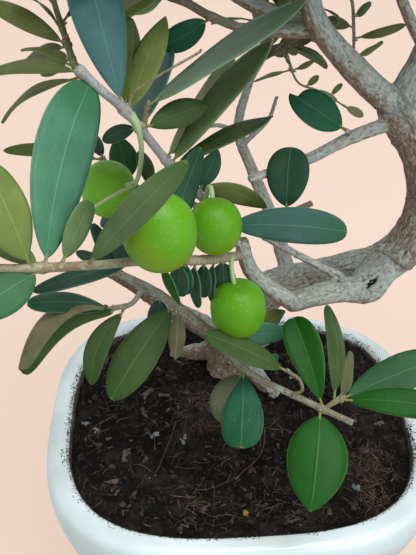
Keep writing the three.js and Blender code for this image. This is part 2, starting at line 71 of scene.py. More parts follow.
class Wire:
    """A socket in a material's nodes. Sums on it add Math nodes, and node() adds any other kind."""

    def __init__(self, tree, socket):
        self.tree = tree
        self.socket = socket

    def node(self, kind, inputs, output=0, **settings):
        made = self.tree.nodes.new("ShaderNode" + kind)
        for key, value in settings.items():
            setattr(made, key, value)
        for key, value in inputs.items():
            if isinstance(value, Wire):
                self.tree.links.new(value.socket, made.inputs[key])
            else:
                made.inputs[key].default_value = value
        return Wire(self.tree, made.outputs[output])

    def maths(self, operation, first, second=0):
        return self.node("Math", {0: first, 1: second}, operation=operation)

    def __add__(self, other):
        return self.maths("ADD", self, other)

    def __sub__(self, other):
        return self.maths("SUBTRACT", self, other)

    def __rsub__(self, other):
        return self.maths("SUBTRACT", other, self)

    def __mul__(self, other):
        return self.maths("MULTIPLY", self, other)

    __radd__ = __add__
    __rmul__ = __mul__

    def part(self, axis):
        return self.node("SeparateXYZ", {0: self}, axis)

    def noise(self, scale, detail=3, roughness=0.55):
        inputs = {"Vector": self, "Scale": scale, "Detail": detail, "Roughness": roughness}
        return self.node("TexNoise", inputs)

    def cells(self, scale, **settings):
        return self.node("TexVoronoi", {"Vector": self, "Scale": scale}, **settings)

    def between(self, low, high):
        """0 below low and 1 above high, or the other way round where low is the larger."""
        inputs = {"Value": self, "From Min": low, "From Max": high}
        return self.node("MapRange", inputs, interpolation_type="SMOOTHSTEP")

    def mixed(self, *tones):
        """Two colours or wires mixed. This wire is the share of the second."""
        first, second = ((*tone, 1) if isinstance(tone, tuple) else tone for tone in tones)
        return self.node("Mix", {0: self, 6: first, 7: second}, 2, data_type="RGBA")

    def stretched(self, *scale):
        return self.node("Mapping", {"Vector": self, "Scale": scale})

    def away(self, *spot):
        """How far this place is from a spot given in millimetres, in metres."""
        return self.node("VectorMath", {0: self, 1: Vector(spot) * MM}, 1, operation="DISTANCE")


class Finish(Wire):
    """A material on one shader, with fixed values and wires on its sockets. Its own wire is the place."""

    def __init__(self, name, **fixed):
        self.material = bpy.data.materials.new(name)
        self.material.use_nodes = True
        self.tree = self.material.node_tree
        self.sockets = self.tree.nodes["Principled BSDF"].inputs
        for key, value in fixed.items():
            self.sockets[key.replace("_", " ")].default_value = value
        self.socket = self.node("TexCoord", {}, "Object").socket

    def attribute(self, name, output="Vector"):
        return self.node("Attribute", {}, output, attribute_name=name)

    def feed(self, **wires):
        for key, wire in wires.items():
            self.tree.links.new(wire.socket, self.sockets[key.replace("_", " ")])

    def relief(self, height, distance, strength=1.0):
        inputs = {"Strength": strength, "Distance": distance * MM, "Height": height}
        self.feed(Normal=self.node("Bump", inputs))


def squared(x, y):
    """Moves a point of a turned shape onto the pot's rounded square."""
    r = math.hypot(x, y)
    if r < 1e-6:
        return x, y
    n = POT_SQUARENESS
    reach = (abs(x / r) ** n + abs(y / r) ** n) ** (-1 / n)
    back = POT_BACK_DEPTH - POT_BACK_SKEW * x * reach / POT_HALF_WIDTH if y > 0 else 1
    return x * reach, y * reach * back * POT_HALF_DEPTH / POT_HALF_WIDTH


def turned(profile, steps, inside=()):
    """A closed skin in millimetres: a profile from axis to axis, spun and squared off."""
    bm = bmesh.new()
    inside_layer = bm.verts.layers.float.new("inside")
    verts = [bm.verts.new((r, 0, z)) for r, z in profile]
    for number in inside:
        verts[number][inside_layer] = 1
    edges = [bm.edges.new(pair) for pair in zip(verts, verts[1:])]
    bmesh.ops.spin(bm, geom=verts + edges, axis=(0, 0, 1), angle=math.tau, steps=steps, use_merge=True)
    bmesh.ops.remove_doubles(bm, verts=bm.verts, dist=1e-4)
    for v in bm.verts:
        v.co.x, v.co.y = squared(v.co.x, v.co.y)
    bmesh.ops.recalc_face_normals(bm, faces=bm.faces)
    return bm


def as_mesh(name, bm):
    mesh = bpy.data.meshes.new(name)
    bm.to_mesh(mesh)
    bm.free()
    return mesh


def placed(name, data):
    made = bpy.data.objects.new(name, data)
    bpy.context.scene.collection.objects.link(made)
    return made


def piece(name, bm, finishes, nodes=(), smooth=False):
    """A shape in millimetres becomes a piece in metres, which rides with the plant and stands for nodes."""
    for face in bm.faces if smooth else ():
        face.smooth = True
    mesh = as_mesh(name, bm)
    mesh.transform(Matrix.Scale(MM, 4))
    for finish in finishes:
        mesh.materials.append(finish.material)
    made = placed(name, mesh)
    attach(made, "root")
    if nodes:
        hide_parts(*nodes)
    return made


glaze = Finish("white_glaze", Coat_Weight=0.35, Coat_Roughness=0.08)
pooled = glaze.noise(28, 3).between(0.42, 0.66)
speck = glaze.noise(900, 1).between(0.80, 0.84)
height = glaze.part(2)
stain = (height.between(0.0722, 0.0690) + 1.1 * (glaze.noise(170, 4, 0.7) - 0.5)).between(0.50, 0.95)
stain = glaze.attribute("inside", "Fac") * stain
glazed = pooled.mixed(GLAZE, GLAZE_POOLED)
# Painted shade and painted warm reflected light: below the rim the glaze is painted a darker, warmer grey,
# fully so from 53 mm down.
glazed = (0.8 * (height + 0.004 * pooled).between(0.0670, 0.0530)).mixed(glazed, GLAZE_PAINTED_SHADE)
glazed = speck.mixed(glazed, GLAZE_SPECK)
glaze.feed(Base_Color=stain.mixed(glazed, SOIL_STAIN), Roughness=0.16 + 0.5 * stain + 0.12 * pooled)
glaze.relief(glaze.noise(45, 2) + 0.12 * glaze.noise(700, 2), 0.5, 0.35)

pot_profile = FOOT + OUTER_WALL + RIM + INNER_WALL
stained_from = len(FOOT + OUTER_WALL) + 4
pot_mesh = turned(pot_profile, POT_STEPS, range(stained_from, len(pot_profile)))
pot = piece("glazed_pot", pot_mesh, [glaze], ["pot"], True)
rounding = pot.modifiers.new("rounding", "SUBSURF")
rounding.levels = rounding.render_levels = 2

# The soil: dark peaty compost that fills the pot almost to its rim, drawn up to the back and round the foot
# of the trunk. It is one closed block, whose top is worked into crumbs and hollows.
SOIL_EDGE = 66.0
SOIL_RISE = 66.7
SOIL_TOP = 70.2
SOIL_FLOOR = [(61.4, 38.3), (54.9, 13.3), (49.4, 8.3), (0, 8.3)]
SOIL_RINGS = 84
SOIL_STEPS = 300
TRUNK_FOOT = (0, 28)
MOUND = (-12.8, 3.6)
SOIL_DARK = (0.012, 0.0095, 0.0088)
SOIL_BROWN = (0.046, 0.034, 0.029)
SOIL_PALE = (0.17, 0.145, 0.125)
SOIL_MOSS = (0.055, 0.085, 0.022)


def hill(x, y, middle, spread):
    return math.exp(-((x - middle[0]) ** 2 + (y - middle[1]) ** 2) / spread**2)


def soil_height(x, y):
    """Height of the soil's surface in millimetres."""
    lie = 1.9 * hill(x, y, (42, 40), 30) + 1.7 * hill(x, y, TRUNK_FOOT, 20) - 0.7 * hill(x, y, (-30, -20), 35)
    mound = 2.2 * hill(x, y, MOUND, 12)
    n = POT_SQUARENESS
    nearness = (abs(x / SOIL_EDGE) ** n + abs(y / SOIL_EDGE * 1.1) ** n) ** (1 / n)
    creep = max(0, (nearness - 0.84) / 0.16) ** 2 * (1.3 + 1.8 * noise.noise((x / 6, y / 6, 21)))
    clods = 1.2 * noise.noise((x / 12, y / 12, 0)) + 1.2 * noise.noise((x / 4.6, y / 4.6, 3))
    near = noise.voronoi((x / 2.7, y / 2.7, 0.5))[0][0]
    crumbs = 0.5 - near + 0.7 * noise.noise((x / 1.2, y / 1.2, 7))
    return min(SOIL_TOP, SOIL_RISE + lie + mound + creep + clods + crumbs)


soil_profile = [(SOIL_EDGE * ring / SOIL_RINGS, SOIL_RISE) for ring in range(SOIL_RINGS + 1)]
soil_mesh = turned(soil_profile + SOIL_FLOOR, SOIL_STEPS)
for vert in soil_mesh.verts:
    if vert.co.z > SOIL_RISE - 1:
        vert.co.z = soil_height(vert.co.x, vert.co.y)
compost = Finish("dark_compost", Roughness=0.97, Specular_IOR_Level=0.12)
damp = compost.noise(85, 5, 0.7)
grain = compost.cells(620)
bits = compost.noise(520, 5, 0.8)
dry = compost.away(*MOUND, 69).between(0.019, 0.006)
brown = (damp + 0.35 * bits + 0.16 * dry).between(0.62, 0.84)
pale = (bits + 0.15 * grain + 0.05 * dry).between(0.67, 0.80)
mossy = compost.noise(60, 3).between(0.60, 0.70) * compost.noise(700, 3, 0.7).between(0.50, 0.60)
soil_tone = (0.9 * pale).mixed(brown.mixed(SOIL_DARK, SOIL_BROWN), SOIL_PALE)
compost.feed(Base_Color=(0.5 * mossy).mixed(soil_tone, SOIL_MOSS))
compost.relief(compost.noise(1300, 5, 0.75) + 0.8 * grain, 1.2)
piece("soil_bed", soil_mesh, [compost], ["soil"], True)

# The trunk, its surface roots and its boughs: one living piece of olive wood, grey and smooth where it is
# young, fissured up the trunk, and brown and fibrous on the old low bough, and painted browner, as painted
# shade, on faces turned down and to the left. Each limb is a tube bent along its course, and the tubes are
# joined in one skin, whose bark is then worked in relief.
TRUNK_COURSE = [
    (0, 28, 60), (1, 26, 78), (4, 22, 100), (14, 17, 117), (28, 12, 125), (41, 6, 132),
    (53, 2, 139), (60.5, 0, 152), (61.5, 0, 168), (56, 0, 184), (47, 0, 199),
]
TRUNK_CUT = 61
ROOTS = [
    [(-2, 29, 84), (-9, 32, 74), (-17, 36, 69.5), (-26, 40, 65)],
    [(2, 26, 84), (7, 20, 75), (12, 15, 70), (18, 10, 65)],
    [(1, 29, 84), (8, 35, 75), (15, 42, 70), (22, 47, 65)],
]
BOUGHS = {
    "bough_front": ([(54, 1, 139), (43, -8, 135), (31, -14, 138), (13, -24, 141)], 5.4, 3.2),
    "bough_front_end": ([(14, -23.5, 141), (6, -22.5, 147), (0, -22, 154), (-3, -23, 165)], 2.9, 2.4),
    "bough_front_twig": ([(34, -9, 140), (25, -14, 148), (14, -20, 158), (3, -26, 168)], 1.5, 1.1),
    "bough_low_left": ([(-3, 28, 84), (-17, 26, 96), (-29, 18, 111), (-38, 8, 127), (-46, -5, 143)], 5, 2),
    "bough_middle": ([(48, 0, 193), (31, -8, 191), (17, -14, 187), (-1, -20, 184)], 2.5, 1.3),
    "bough_back": ([(21, 15, 122), (16, 34, 138), (9, 46, 153), (3, 52, 170), (8, 55, 190)], 3.2, 1.5),
    "bough_upper_left": ([(47, 0, 197), (36, 0, 206), (19, -4, 224), (14, -5, 240), (12, -4, 254)], 4.6, 2.3),
    "bough_top_front": ([(21, -3, 222), (8, 0, 221), (-4, 3, 221.5)], 2.4, 1.5),
    "bough_left_back": ([(20, -3, 223), (7, 9, 224), (-7, 18, 230), (-22, 29, 240)], 2.8, 1.6),
    "bough_leader": ([(47, 0, 197), (54, 2, 212), (57, 4, 224), (54, 7, 242), (46, 8, 258)], 5.4, 2.6),
    "bough_leader_front": ([(54, 1, 213), (46, -2, 224), (40, -5, 234), (36, -8, 246)], 1.9, 1.3),
    "bough_right": ([(61, 1, 168), (76, 4, 178), (89, 5, 190), (99, 3, 203)], 3.3, 1.6),
    "bough_right_back": ([(57, 5, 226), (68, 18, 233), (78, 34, 243)], 2.6, 1.5),
    "bough_right_front": ([(57, 3, 219), (69, -10, 229), (80, -24, 241)], 2.6, 1.5),
    "bough_back_high": ([(51, 8, 248), (42, 24, 256), (30, 38, 265)], 2.1, 1.4),
}
SPURS = [
    ([(4, 51, 168), (-5, 50, 172), (-13, 48, 172), (-17, 46, 178)], 1.1, 0.6),
    ([(5, 50, 164), (14, 49, 174), (17, 48, 184)], 1.2, 0.8),
    ([(8, 55, 188), (14, 50, 204), (10, 46, 216)], 1.1, 0.7),
    ([(40, 0, 203), (36, 8, 208), (33, 14, 209)], 1.5, 1.2),
    ([(16, -20, 156), (11, -16, 159), (9, -14, 163)], 1.0, 0.8),
]
WOUNDS = [((44, -11.5, 139), 5.5, 2.1), ((31, -13, 141), 3.5, 0.9), ((56, -7, 146), 3.6, 0.8)]
SKIN_STEP = 0.583
LIMB_SHIFT = 137
AGED = {"trunk": 0.5, "root_0": 1, "root_1": 1, "root_2": 1, "bough_low_left": 0.95, "bough_front": 0.25}
YOUNG_BARK = 0.2
BARK_GREY = (0.575, 0.58, 0.52)
BARK_SAGE = (0.60, 0.66, 0.61)
BARK_TAN = (0.48, 0.335, 0.230)
BARK_BROWN = (0.25, 0.150, 0.095)
BARK_DULL = (0.31, 0.245, 0.185)
BARK_RUST = (0.27, 0.125, 0.065)
BARK_WHITE = (0.74, 0.77, 0.72)
BARK_CRACK = (0.035, 0.021, 0.014)


def evenly(count):
    return np.linspace(0, 1, count)


def radius_at(radii, shares):
    return np.interp(shares, evenly(len(radii)), radii)


def bell(shares, middle, width):
    return np.exp(-(((shares - middle) / width) ** 2))


class Course:
    """A smooth curve through points, read at shares of its length."""

    def __init__(self, points):
        given = np.array(points, float)
        ends = np.vstack([2 * given[0] - given[1], given, 2 * given[-1] - given[-2]])
        t = evenly(25)[:, None]
        spans = []
        for a, b, c, d in zip(ends, ends[1:], ends[2:], ends[3:]):
            bend = t * t * (a - 2.5 * b + 2 * c - 0.5 * d) + t**3 * (-0.5 * a + 1.5 * b - 1.5 * c + 0.5 * d)
            spans.append(b + 0.5 * t * (c - a) + bend)
        self.line = np.vstack(spans)
        steps = np.linalg.norm(np.diff(self.line, axis=0), axis=1)
        gone = np.concatenate([[0], np.cumsum(steps)])
        self.length = gone[-1]
        self.shares = gone / self.length

    def points(self, shares):
        return np.stack([np.interp(shares, self.shares, column) for column in self.line.T], -1)

    def point(self, share):
        return Vector(self.points(share))

    def tangent(self, share):
        return (self.point(min(1, share + 0.01)) - self.point(max(0, share - 0.01))).normalized()

    def frames(self, count):
        """Evenly spaced points with their tangents, and two directions across that never twist."""
        along = [self.tangent(share) for share in evenly(count)]
        across = [along[0].orthogonal().normalized()]
        for before, after in zip(along, along[1:]):
            across.append((before.rotation_difference(after) @ across[-1]).normalized())
        other = [a.cross(b) for a, b in zip(along, across)]
        return self.points(evenly(count)), np.array(along), np.array(across), np.array(other)


def corners_of(mesh):
    corners = np.zeros(len(mesh.vertices) * 3)
    mesh.vertices.foreach_get("co", corners)
    return corners.reshape(-1, 3)


def add_form(bm, mesh, corners, material, ends=(), end_material=None):
    """Moves the corners of a form, paints its faces and adds it to a shape."""
    mesh.vertices.foreach_set("co", corners.ravel())
    mesh.polygons.foreach_set("material_index", [material] * len(mesh.polygons))
    for end in ends if end_material else ():
        mesh.polygons[end].material_index = end_material
    bm.from_mesh(mesh)


@cache
def tube_form(sides, rings):
    """A unit tube along Z with rings still to be moved, its corners' rings and angles, and its far end."""
    bm = bmesh.new()
    bmesh.ops.create_cone(bm, cap_ends=True, segments=sides, radius1=1, radius2=1, depth=1)
    upright = [e for e in bm.edges if abs(e.verts[0].co.z - e.verts[1].co.z) > 0.5]
    bmesh.ops.subdivide_edges(bm, edges=upright, cuts=rings - 2, use_grid_fill=True)
    for f in bm.faces:
        f.smooth = len(f.verts) == 4 or sides == 4
    mesh = as_mesh("tube_form", bm)
    x, y, z = corners_of(mesh).T
    caps = [p.index for p in mesh.polygons if p.normal.z > 0.5]
    return mesh, np.rint((z + 0.5) * (rings - 1)).astype(int), np.arctan2(y, x)[:, None], caps


def add_tube(bm, course, radii, sides, rings, material=0, cut=None):
    """A closed round tube along a course. radii are at even steps, and cut is the material of its far end."""
    mesh, ring, angle, caps = tube_form(sides, rings)
    points, _, across, other = course.frames(rings)
    out = across[ring] * np.cos(angle) + other[ring] * np.sin(angle)
    corners = points[ring] + out * radius_at(radii, evenly(rings))[ring][:, None]
    add_form(bm, mesh, corners, material, caps, cut)


share = evenly(60)
swellings = 0.6 * bell(share, 0.62, 0.1) + 1.3 * bell(share, 0.97, 0.06)
trunk_radii = 6.9 + 5.5 * np.exp(-share / 0.16) + swellings - 0.6 * share
limbs = {"trunk": (Course(TRUNK_COURSE), trunk_radii)}
for number, path in enumerate(ROOTS):
    limbs[f"root_{number}"] = (Course(path), 7.5 - 5 * np.sqrt(evenly(20)))
for name, (path, start, end) in BOUGHS.items():
    knot = 1.9 * bell(share, 0.28, 0.09) if name == "bough_front" else 0
    limbs[name] = (Course(path), start + (end - start) * share + knot)
for number, (path, start, end) in enumerate(SPURS):
    limbs[f"spur_{number}"] = (Course(path), np.linspace(start, end, 20))

limb_mesh = bmesh.new()
marks = []
for number, (name, (course, radii)) in enumerate(limbs.items()):
    add_tube(limb_mesh, course, radii, 20, max(12, int(course.length / 2)))
    count = int(course.length) + 2
    sizes = radius_at(radii, evenly(count))
    for i, (*frame_there, size) in enumerate(zip(*course.frames(count), sizes)):
        marks.append((*frame_there, i + LIMB_SHIFT * number, size, AGED.get(name, YOUNG_BARK)))
bmesh.ops.bisect_plane(
    limb_mesh, geom=limb_mesh.verts[:] + limb_mesh.edges[:] + limb_mesh.faces[:],
    plane_co=(0, 0, TRUNK_CUT), plane_no=(0, 0, -1), clear_outer=True,
)
bmesh.ops.holes_fill(limb_mesh, edges=limb_mesh.edges)
shell = placed("rough_shell", as_mesh("rough_shell", limb_mesh))
joining = shell.modifiers.new("joining", "REMESH")
joining.mode = "VOXEL"
joining.voxel_size = SKIN_STEP
easing = shell.modifiers.new("easing", "SMOOTH")
easing.factor = 0.5
easing.iterations = 5
joined = bpy.data.meshes.new_from_object(shell.evaluated_get(bpy.context.evaluated_depsgraph_get()))
bpy.data.objects.remove(shell)

finder = kdtree.KDTree(len(marks))
for index, mark in enumerate(marks):
    finder.insert(mark[0], index)
finder.balance()
skin = bmesh.new()
skin.from_mesh(joined)
skin.normal_update()
grain_layer = skin.verts.layers.float_vector.new("grain")
age_layer = skin.verts.layers.float.new("age")
crack_layer = skin.verts.layers.float.new("crack")
for vert in skin.verts:
    spot = vert.co
    middle, along, across, other, arc, size, age = marks[finder.find(spot)[1]]
    out = np.array(spot) - middle
    x, y, z = straight = Vector((out @ across, out @ other, arc + out @ along))
    vert[grain_layer] = straight
    vert[age_layer] = age
    lumps = 0.07 * size * noise.noise(spot / 9) + 0.04 * size * noise.noise(spot / 4)
    furrow = abs(noise.noise((x / 2.1, y / 2.1, z / 11))) - 0.18
    ridge = noise.noise((x + 40, y, z / 4.5))
    bark = (0.2 + age) * min(1, size / 6) * (0.8 * furrow + 0.5 * ridge) + 0.09 * noise.noise(spot / 1.3)
    deep = 0
    for wound, reach, depth in WOUNDS:
        away = (spot - Vector(wound)).length / reach
        torn = abs(noise.noise((x / 1.6, y / 1.6, z / 3.5 + 9)))
        pit = math.exp(-(away**2) / 0.32) * max(0, 1 - 3.2 * torn)
        deep = max(deep, pit)
        bark += 0.3 * math.exp(-((away - 0.95) ** 2) / 0.09) - depth * pit
    vert[crack_layer] = deep
    vert.co = spot + vert.normal * (lumps + bark)

bark = Finish("olive_bark", Roughness=0.88, Specular_IOR_Level=0.2)
grown = bark.attribute("grain")
aged = bark.attribute("age", "Fac")
facing = bark.node("NewGeometry", {}, "Normal")
lit = 0.75 * facing.part(2) + 0.5 * facing.part(0)
ragged = grown.stretched(1, 1, 0.42).noise(1.1, 6, 0.78)
fleck = grown.stretched(1, 1, 0.36).noise(1.35, 5, 0.8)
flakes = grown.stretched(0.62, 0.62, 0.20).cells(1, feature="DISTANCE_TO_EDGE")
seams = (flakes + 0.7 * (fleck - 0.5)).between(0.10, 0.0)
lenticel = grown.stretched(0.42, 0.42, 0.3).cells(1).between(0.17, 0.09)
pits = grown.stretched(0.5, 0.5, 0.42).cells(1.3).between(0.16, 0.10)
# Painted shade and real wear: the brown, rough bark is mixed in where the bark is ragged and old, and also on
# faces turned down and to the left, away from the key lamp.
worn_and_painted_shade = (0.26 - 0.65 * lit + 1.7 * (ragged - 0.5) + 0.40 * (aged - 0.3)).between(0.26, 0.52)
clean = bark.noise(75, 4, 0.6).between(0.40, 0.62).mixed(BARK_GREY, BARK_SAGE)
clean = (0.95 * fleck.between(0.53, 0.60)).mixed(clean, BARK_WHITE)
clean = (0.75 * fleck.between(0.47, 0.40)).mixed(clean, BARK_DULL)
rough = fleck.between(0.36, 0.60).mixed(BARK_BROWN, BARK_TAN)
rough = (0.85 * fleck.between(0.55, 0.63)).mixed(rough, BARK_GREY)
coat = worn_and_painted_shade.mixed(clean, rough)
coat = (0.45 * seams * aged).mixed(coat, BARK_BROWN)
coat = (0.8 * pits * ragged.between(0.44, 0.52)).mixed(coat, BARK_BROWN)
coat = (0.9 * lenticel * (1 - aged)).mixed(coat, BARK_RUST)
cracked = bark.attribute("crack", "Fac").between(0.12, 0.5)
bark.feed(Base_Color=cracked.mixed(coat, BARK_CRACK))
bark.relief(0.9 * ragged + 0.7 * fleck + 0.35 * lenticel - 0.35 * seams * aged - 0.3 * pits, 1.2, 0.9)
piece("trunk_and_boughs", skin, [bark], ["trunk", *BOUGHS], True)

# Leaves: thick, stiff, narrow blades, glossy dark green above and felted grey-green below, with a pale midrib
# and a pale margin. Each is a grid drawn in to the leaf's outline and arched between its stalk and its tip;
# the felt side comes from giving it a thickness.
LEAF_THICKNESS = 0.42
PETIOLE = 2.6
PETIOLE_SHARE = 0.14
TOPS = {
    "dark": (0.020, 0.062, 0.036),
    "teal": (0.060, 0.175, 0.105),
    "mid": (0.045, 0.082, 0.022),
    "khaki": (0.105, 0.122, 0.032),
    "bright": (0.010, 0.078, 0.005),
    "grey": (0.056, 0.140, 0.112),
    "pale": (0.21, 0.24, 0.13),
    "shade": (0.075, 0.080, 0.045),
    "fresh": (0.036, 0.112, 0.043),
    "sage": (0.100, 0.152, 0.060),
    "silver": (0.150, 0.215, 0.150),
    # blue: a grey-green leaf top with a bluish sky reflection painted into it, partly painted reflection.
    "blue": (0.068, 0.172, 0.168),
    "young": (0.170, 0.218, 0.058),
    "deep": (0.014, 0.085, 0.044),
}
DARK, TEAL, MID, KHAKI, BRIGHT, GREY, PALE, SHADE, FRESH, SAGE, SILVER, BLUE_SKY_SHEEN, YOUNG, DEEP = range(len(TOPS))
FELT = (0.21, 0.195, 0.105)
FELT_SHADE = (0.135, 0.13, 0.062)
FELT_RIB = (0.32, 0.32, 0.18)
TIP_YELLOW = (0.30, 0.30, 0.06)
LEAF_DUST_AND_GLINT = (0.34, 0.38, 0.34)
SHAPES = {
    "lance": (0.85, 0.85),
    "long": (0.70, 0.55),
    "oval": (0.62, 0.55),
    "obovate": (0.85, 0.40),
    "pointed": (0.68, 0.82),
    "blunt": (0.64, 0.42),
}


def along_leaf(x):
    """A leaf grid's X as a share of the leaf's length, with its rows closer at both ends."""
    return 0.5 - 0.5 * np.cos(math.pi * (x / 2 + 0.5))


@cache
def leaf_form(rows, columns):
    """A unit leaf grid, with its corners as shares along the leaf and from -1 to 1 across it."""
    bm = bmesh.new()
    bmesh.ops.create_grid(bm, x_segments=rows, y_segments=columns, size=1)
    uv_layer = bm.loops.layers.uv.new("leaf")
    for f in bm.faces:
        f.smooth = True
        for loop in f.loops:
            loop[uv_layer].uv = (along_leaf(loop.vert.co.x), loop.vert.co.y / 2 + 0.5)
    mesh = as_mesh("leaf_form", bm)
    corners = corners_of(mesh)
    return mesh, along_leaf(corners[:, 0]), corners[:, 1]


def add_leaf(bm, leaf, rows, columns):
    """One blade. Its stalk end and its tip stay where the rule puts them."""
    mesh, share, across = leaf_form(rows, columns)
    base_end, tip_end = SHAPES[leaf["shape"]]
    length = leaf["length"]
    widest = base_end / (base_end + tip_end)
    start = min(PETIOLE, PETIOLE_SHARE * length)
    outline = (share / widest) ** base_end * ((1 - share) / (1 - widest)) ** tip_end
    half = np.maximum(0.5 * leaf["width"] * outline, 0.28 * (share < 0.5))
    x = start + (length - start) * share - leaf["notch"] * length * share**5 * (across < 0)
    y = across * half
    bulge = 4 * share * (1 - share)
    wave = leaf["wave"] * np.sin(share * 9 + across * 2) * np.abs(across)
    z = leaf["fold"] * np.abs(y) - leaf["roll"] * across**2 * half + wave
    lapped = abs(leaf["lap"]) * (across * leaf["lap"] > 0) * np.minimum(1, 10 * share)
    y, z = y * np.cos(lapped), z + np.abs(y) * np.sin(lapped)
    turn = leaf["twist"] * (share - 0.3)
    y, z = y * np.cos(turn) - z * np.sin(turn), y * np.sin(turn) + z * np.cos(turn)
    y = y + bulge * leaf.get("bow", 0.2 * leaf["twist"]) * length
    z = z + bulge * leaf["arch"] * length
    axis, normal = leaf["axis"], leaf["normal"]
    sides = np.array([axis, normal.cross(axis), normal])
    add_form(bm, mesh, np.array(leaf["base"]) + np.stack([x, y, z], -1) @ sides, leaf["tint"])


def leaf_top(name, colour):
    """The waxed side: a toned blade with a thin paler midrib, faint side veins and a fine pale margin."""
    blade = Finish("leaf_" + name, Specular_IOR_Level=0.14)
    red, green, blue = colour
    lighter = tuple(1.4 * c + 0.004 for c in colour)
    greener = (0.55 * red, 0.9 * green, 0.5 * blue)
    rib_tone = (1.3 * red + 0.12, 1.3 * green + 0.17, 1.3 * blue + 0.08)
    place = blade.attribute("leaf")
    along = place.part(0)
    off_rib = place.maths("ABSOLUTE", place.part(1) - 0.5)
    veins = place.maths("SINE", (along - 0.8 * off_rib) * 95).between(0.4, 1.0)
    shade = blade.noise(95, 3)
    dust = blade.noise(1700, 2, 0.6).between(0.68, 0.80)
    net = blade.cells(700, feature="DISTANCE_TO_EDGE").between(0.10, 0.0)
    # Painted highlights: thin pale streaks along the blade stand for glints of light on its wax.
    painted_glints = place.stretched(9, 60, 1).noise(1).between(0.62, 0.70) * blade.noise(70, 2).between(0.54, 0.64)
    toned = (0.8 * shade.between(0.35, 0.75)).mixed(colour, lighter)
    toned = (0.18 * veins + 0.22 * net).mixed(toned, lighter)
    toned = (0.7 * along.between(0.62, 1.0) + 0.35 * along.between(0.25, 0.0)).mixed(toned, greener)
    toned = (0.38 * off_rib.between(0.018, 0.006)).mixed(toned, rib_tone)
    toned = (0.45 * off_rib.between(0.474, 0.494)).mixed(toned, rib_tone)
    toned = (0.6 * along.between(0.98, 0.995) * off_rib.between(0.30, 0.10)).mixed(toned, TIP_YELLOW)
    # Real dust specks and painted highlights, mixed in one pale tone.
    toned = (0.25 * dust + 0.5 * painted_glints).mixed(toned, LEAF_DUST_AND_GLINT)
    blade.feed(Base_Color=toned, Roughness=0.32 + 0.2 * shade + 0.2 * dust)
    blade.relief(0.15 * veins + 0.6 * off_rib.between(0.05, 0.0) + 0.35 * blade.noise(500, 2), 0.2, 0.5)
    return blade


tops = [leaf_top(name, colour) for name, colour in TOPS.items()]
felt = Finish("leaf_felt", Roughness=0.85, Specular_IOR_Level=0.2)
felt_rib = felt.maths("ABSOLUTE", felt.attribute("leaf").part(1) - 0.5).between(0.055, 0.02)
felt_tone = felt.noise(140, 4).between(0.3, 0.7).mixed(FELT, FELT_SHADE)
felt.feed(Base_Color=(0.6 * felt_rib).mixed(felt_tone, FELT_RIB))
felt.relief(felt.noise(1500, 2) + felt_rib, 0.25, 0.5)


def leaves_piece(name, group, rows, columns, nodes):
    leaf_mesh = bmesh.new()
    for leaf in leaf_groups[group]:
        add_leaf(leaf_mesh, leaf, rows, columns)
    thick = piece(name, leaf_mesh, [*tops, felt], nodes).modifiers.new("felt_side", "SOLIDIFY")
    thick.thickness = LEAF_THICKNESS * MM
    thick.offset = 0
    thick.material_offset = len(tops)


# The shoots: olive twigs of this year and last, grey-green, with opposite leaves on short stalks and swollen
# at each pair. Those that the picture shows are laid out one by one, and the crown's masses grow on from
# their boughs by a seeded rule.
GREY_WOOD, TAN_WOOD, SPECKLED, GREEN_WOOD, RIPE_WOOD = range(5)

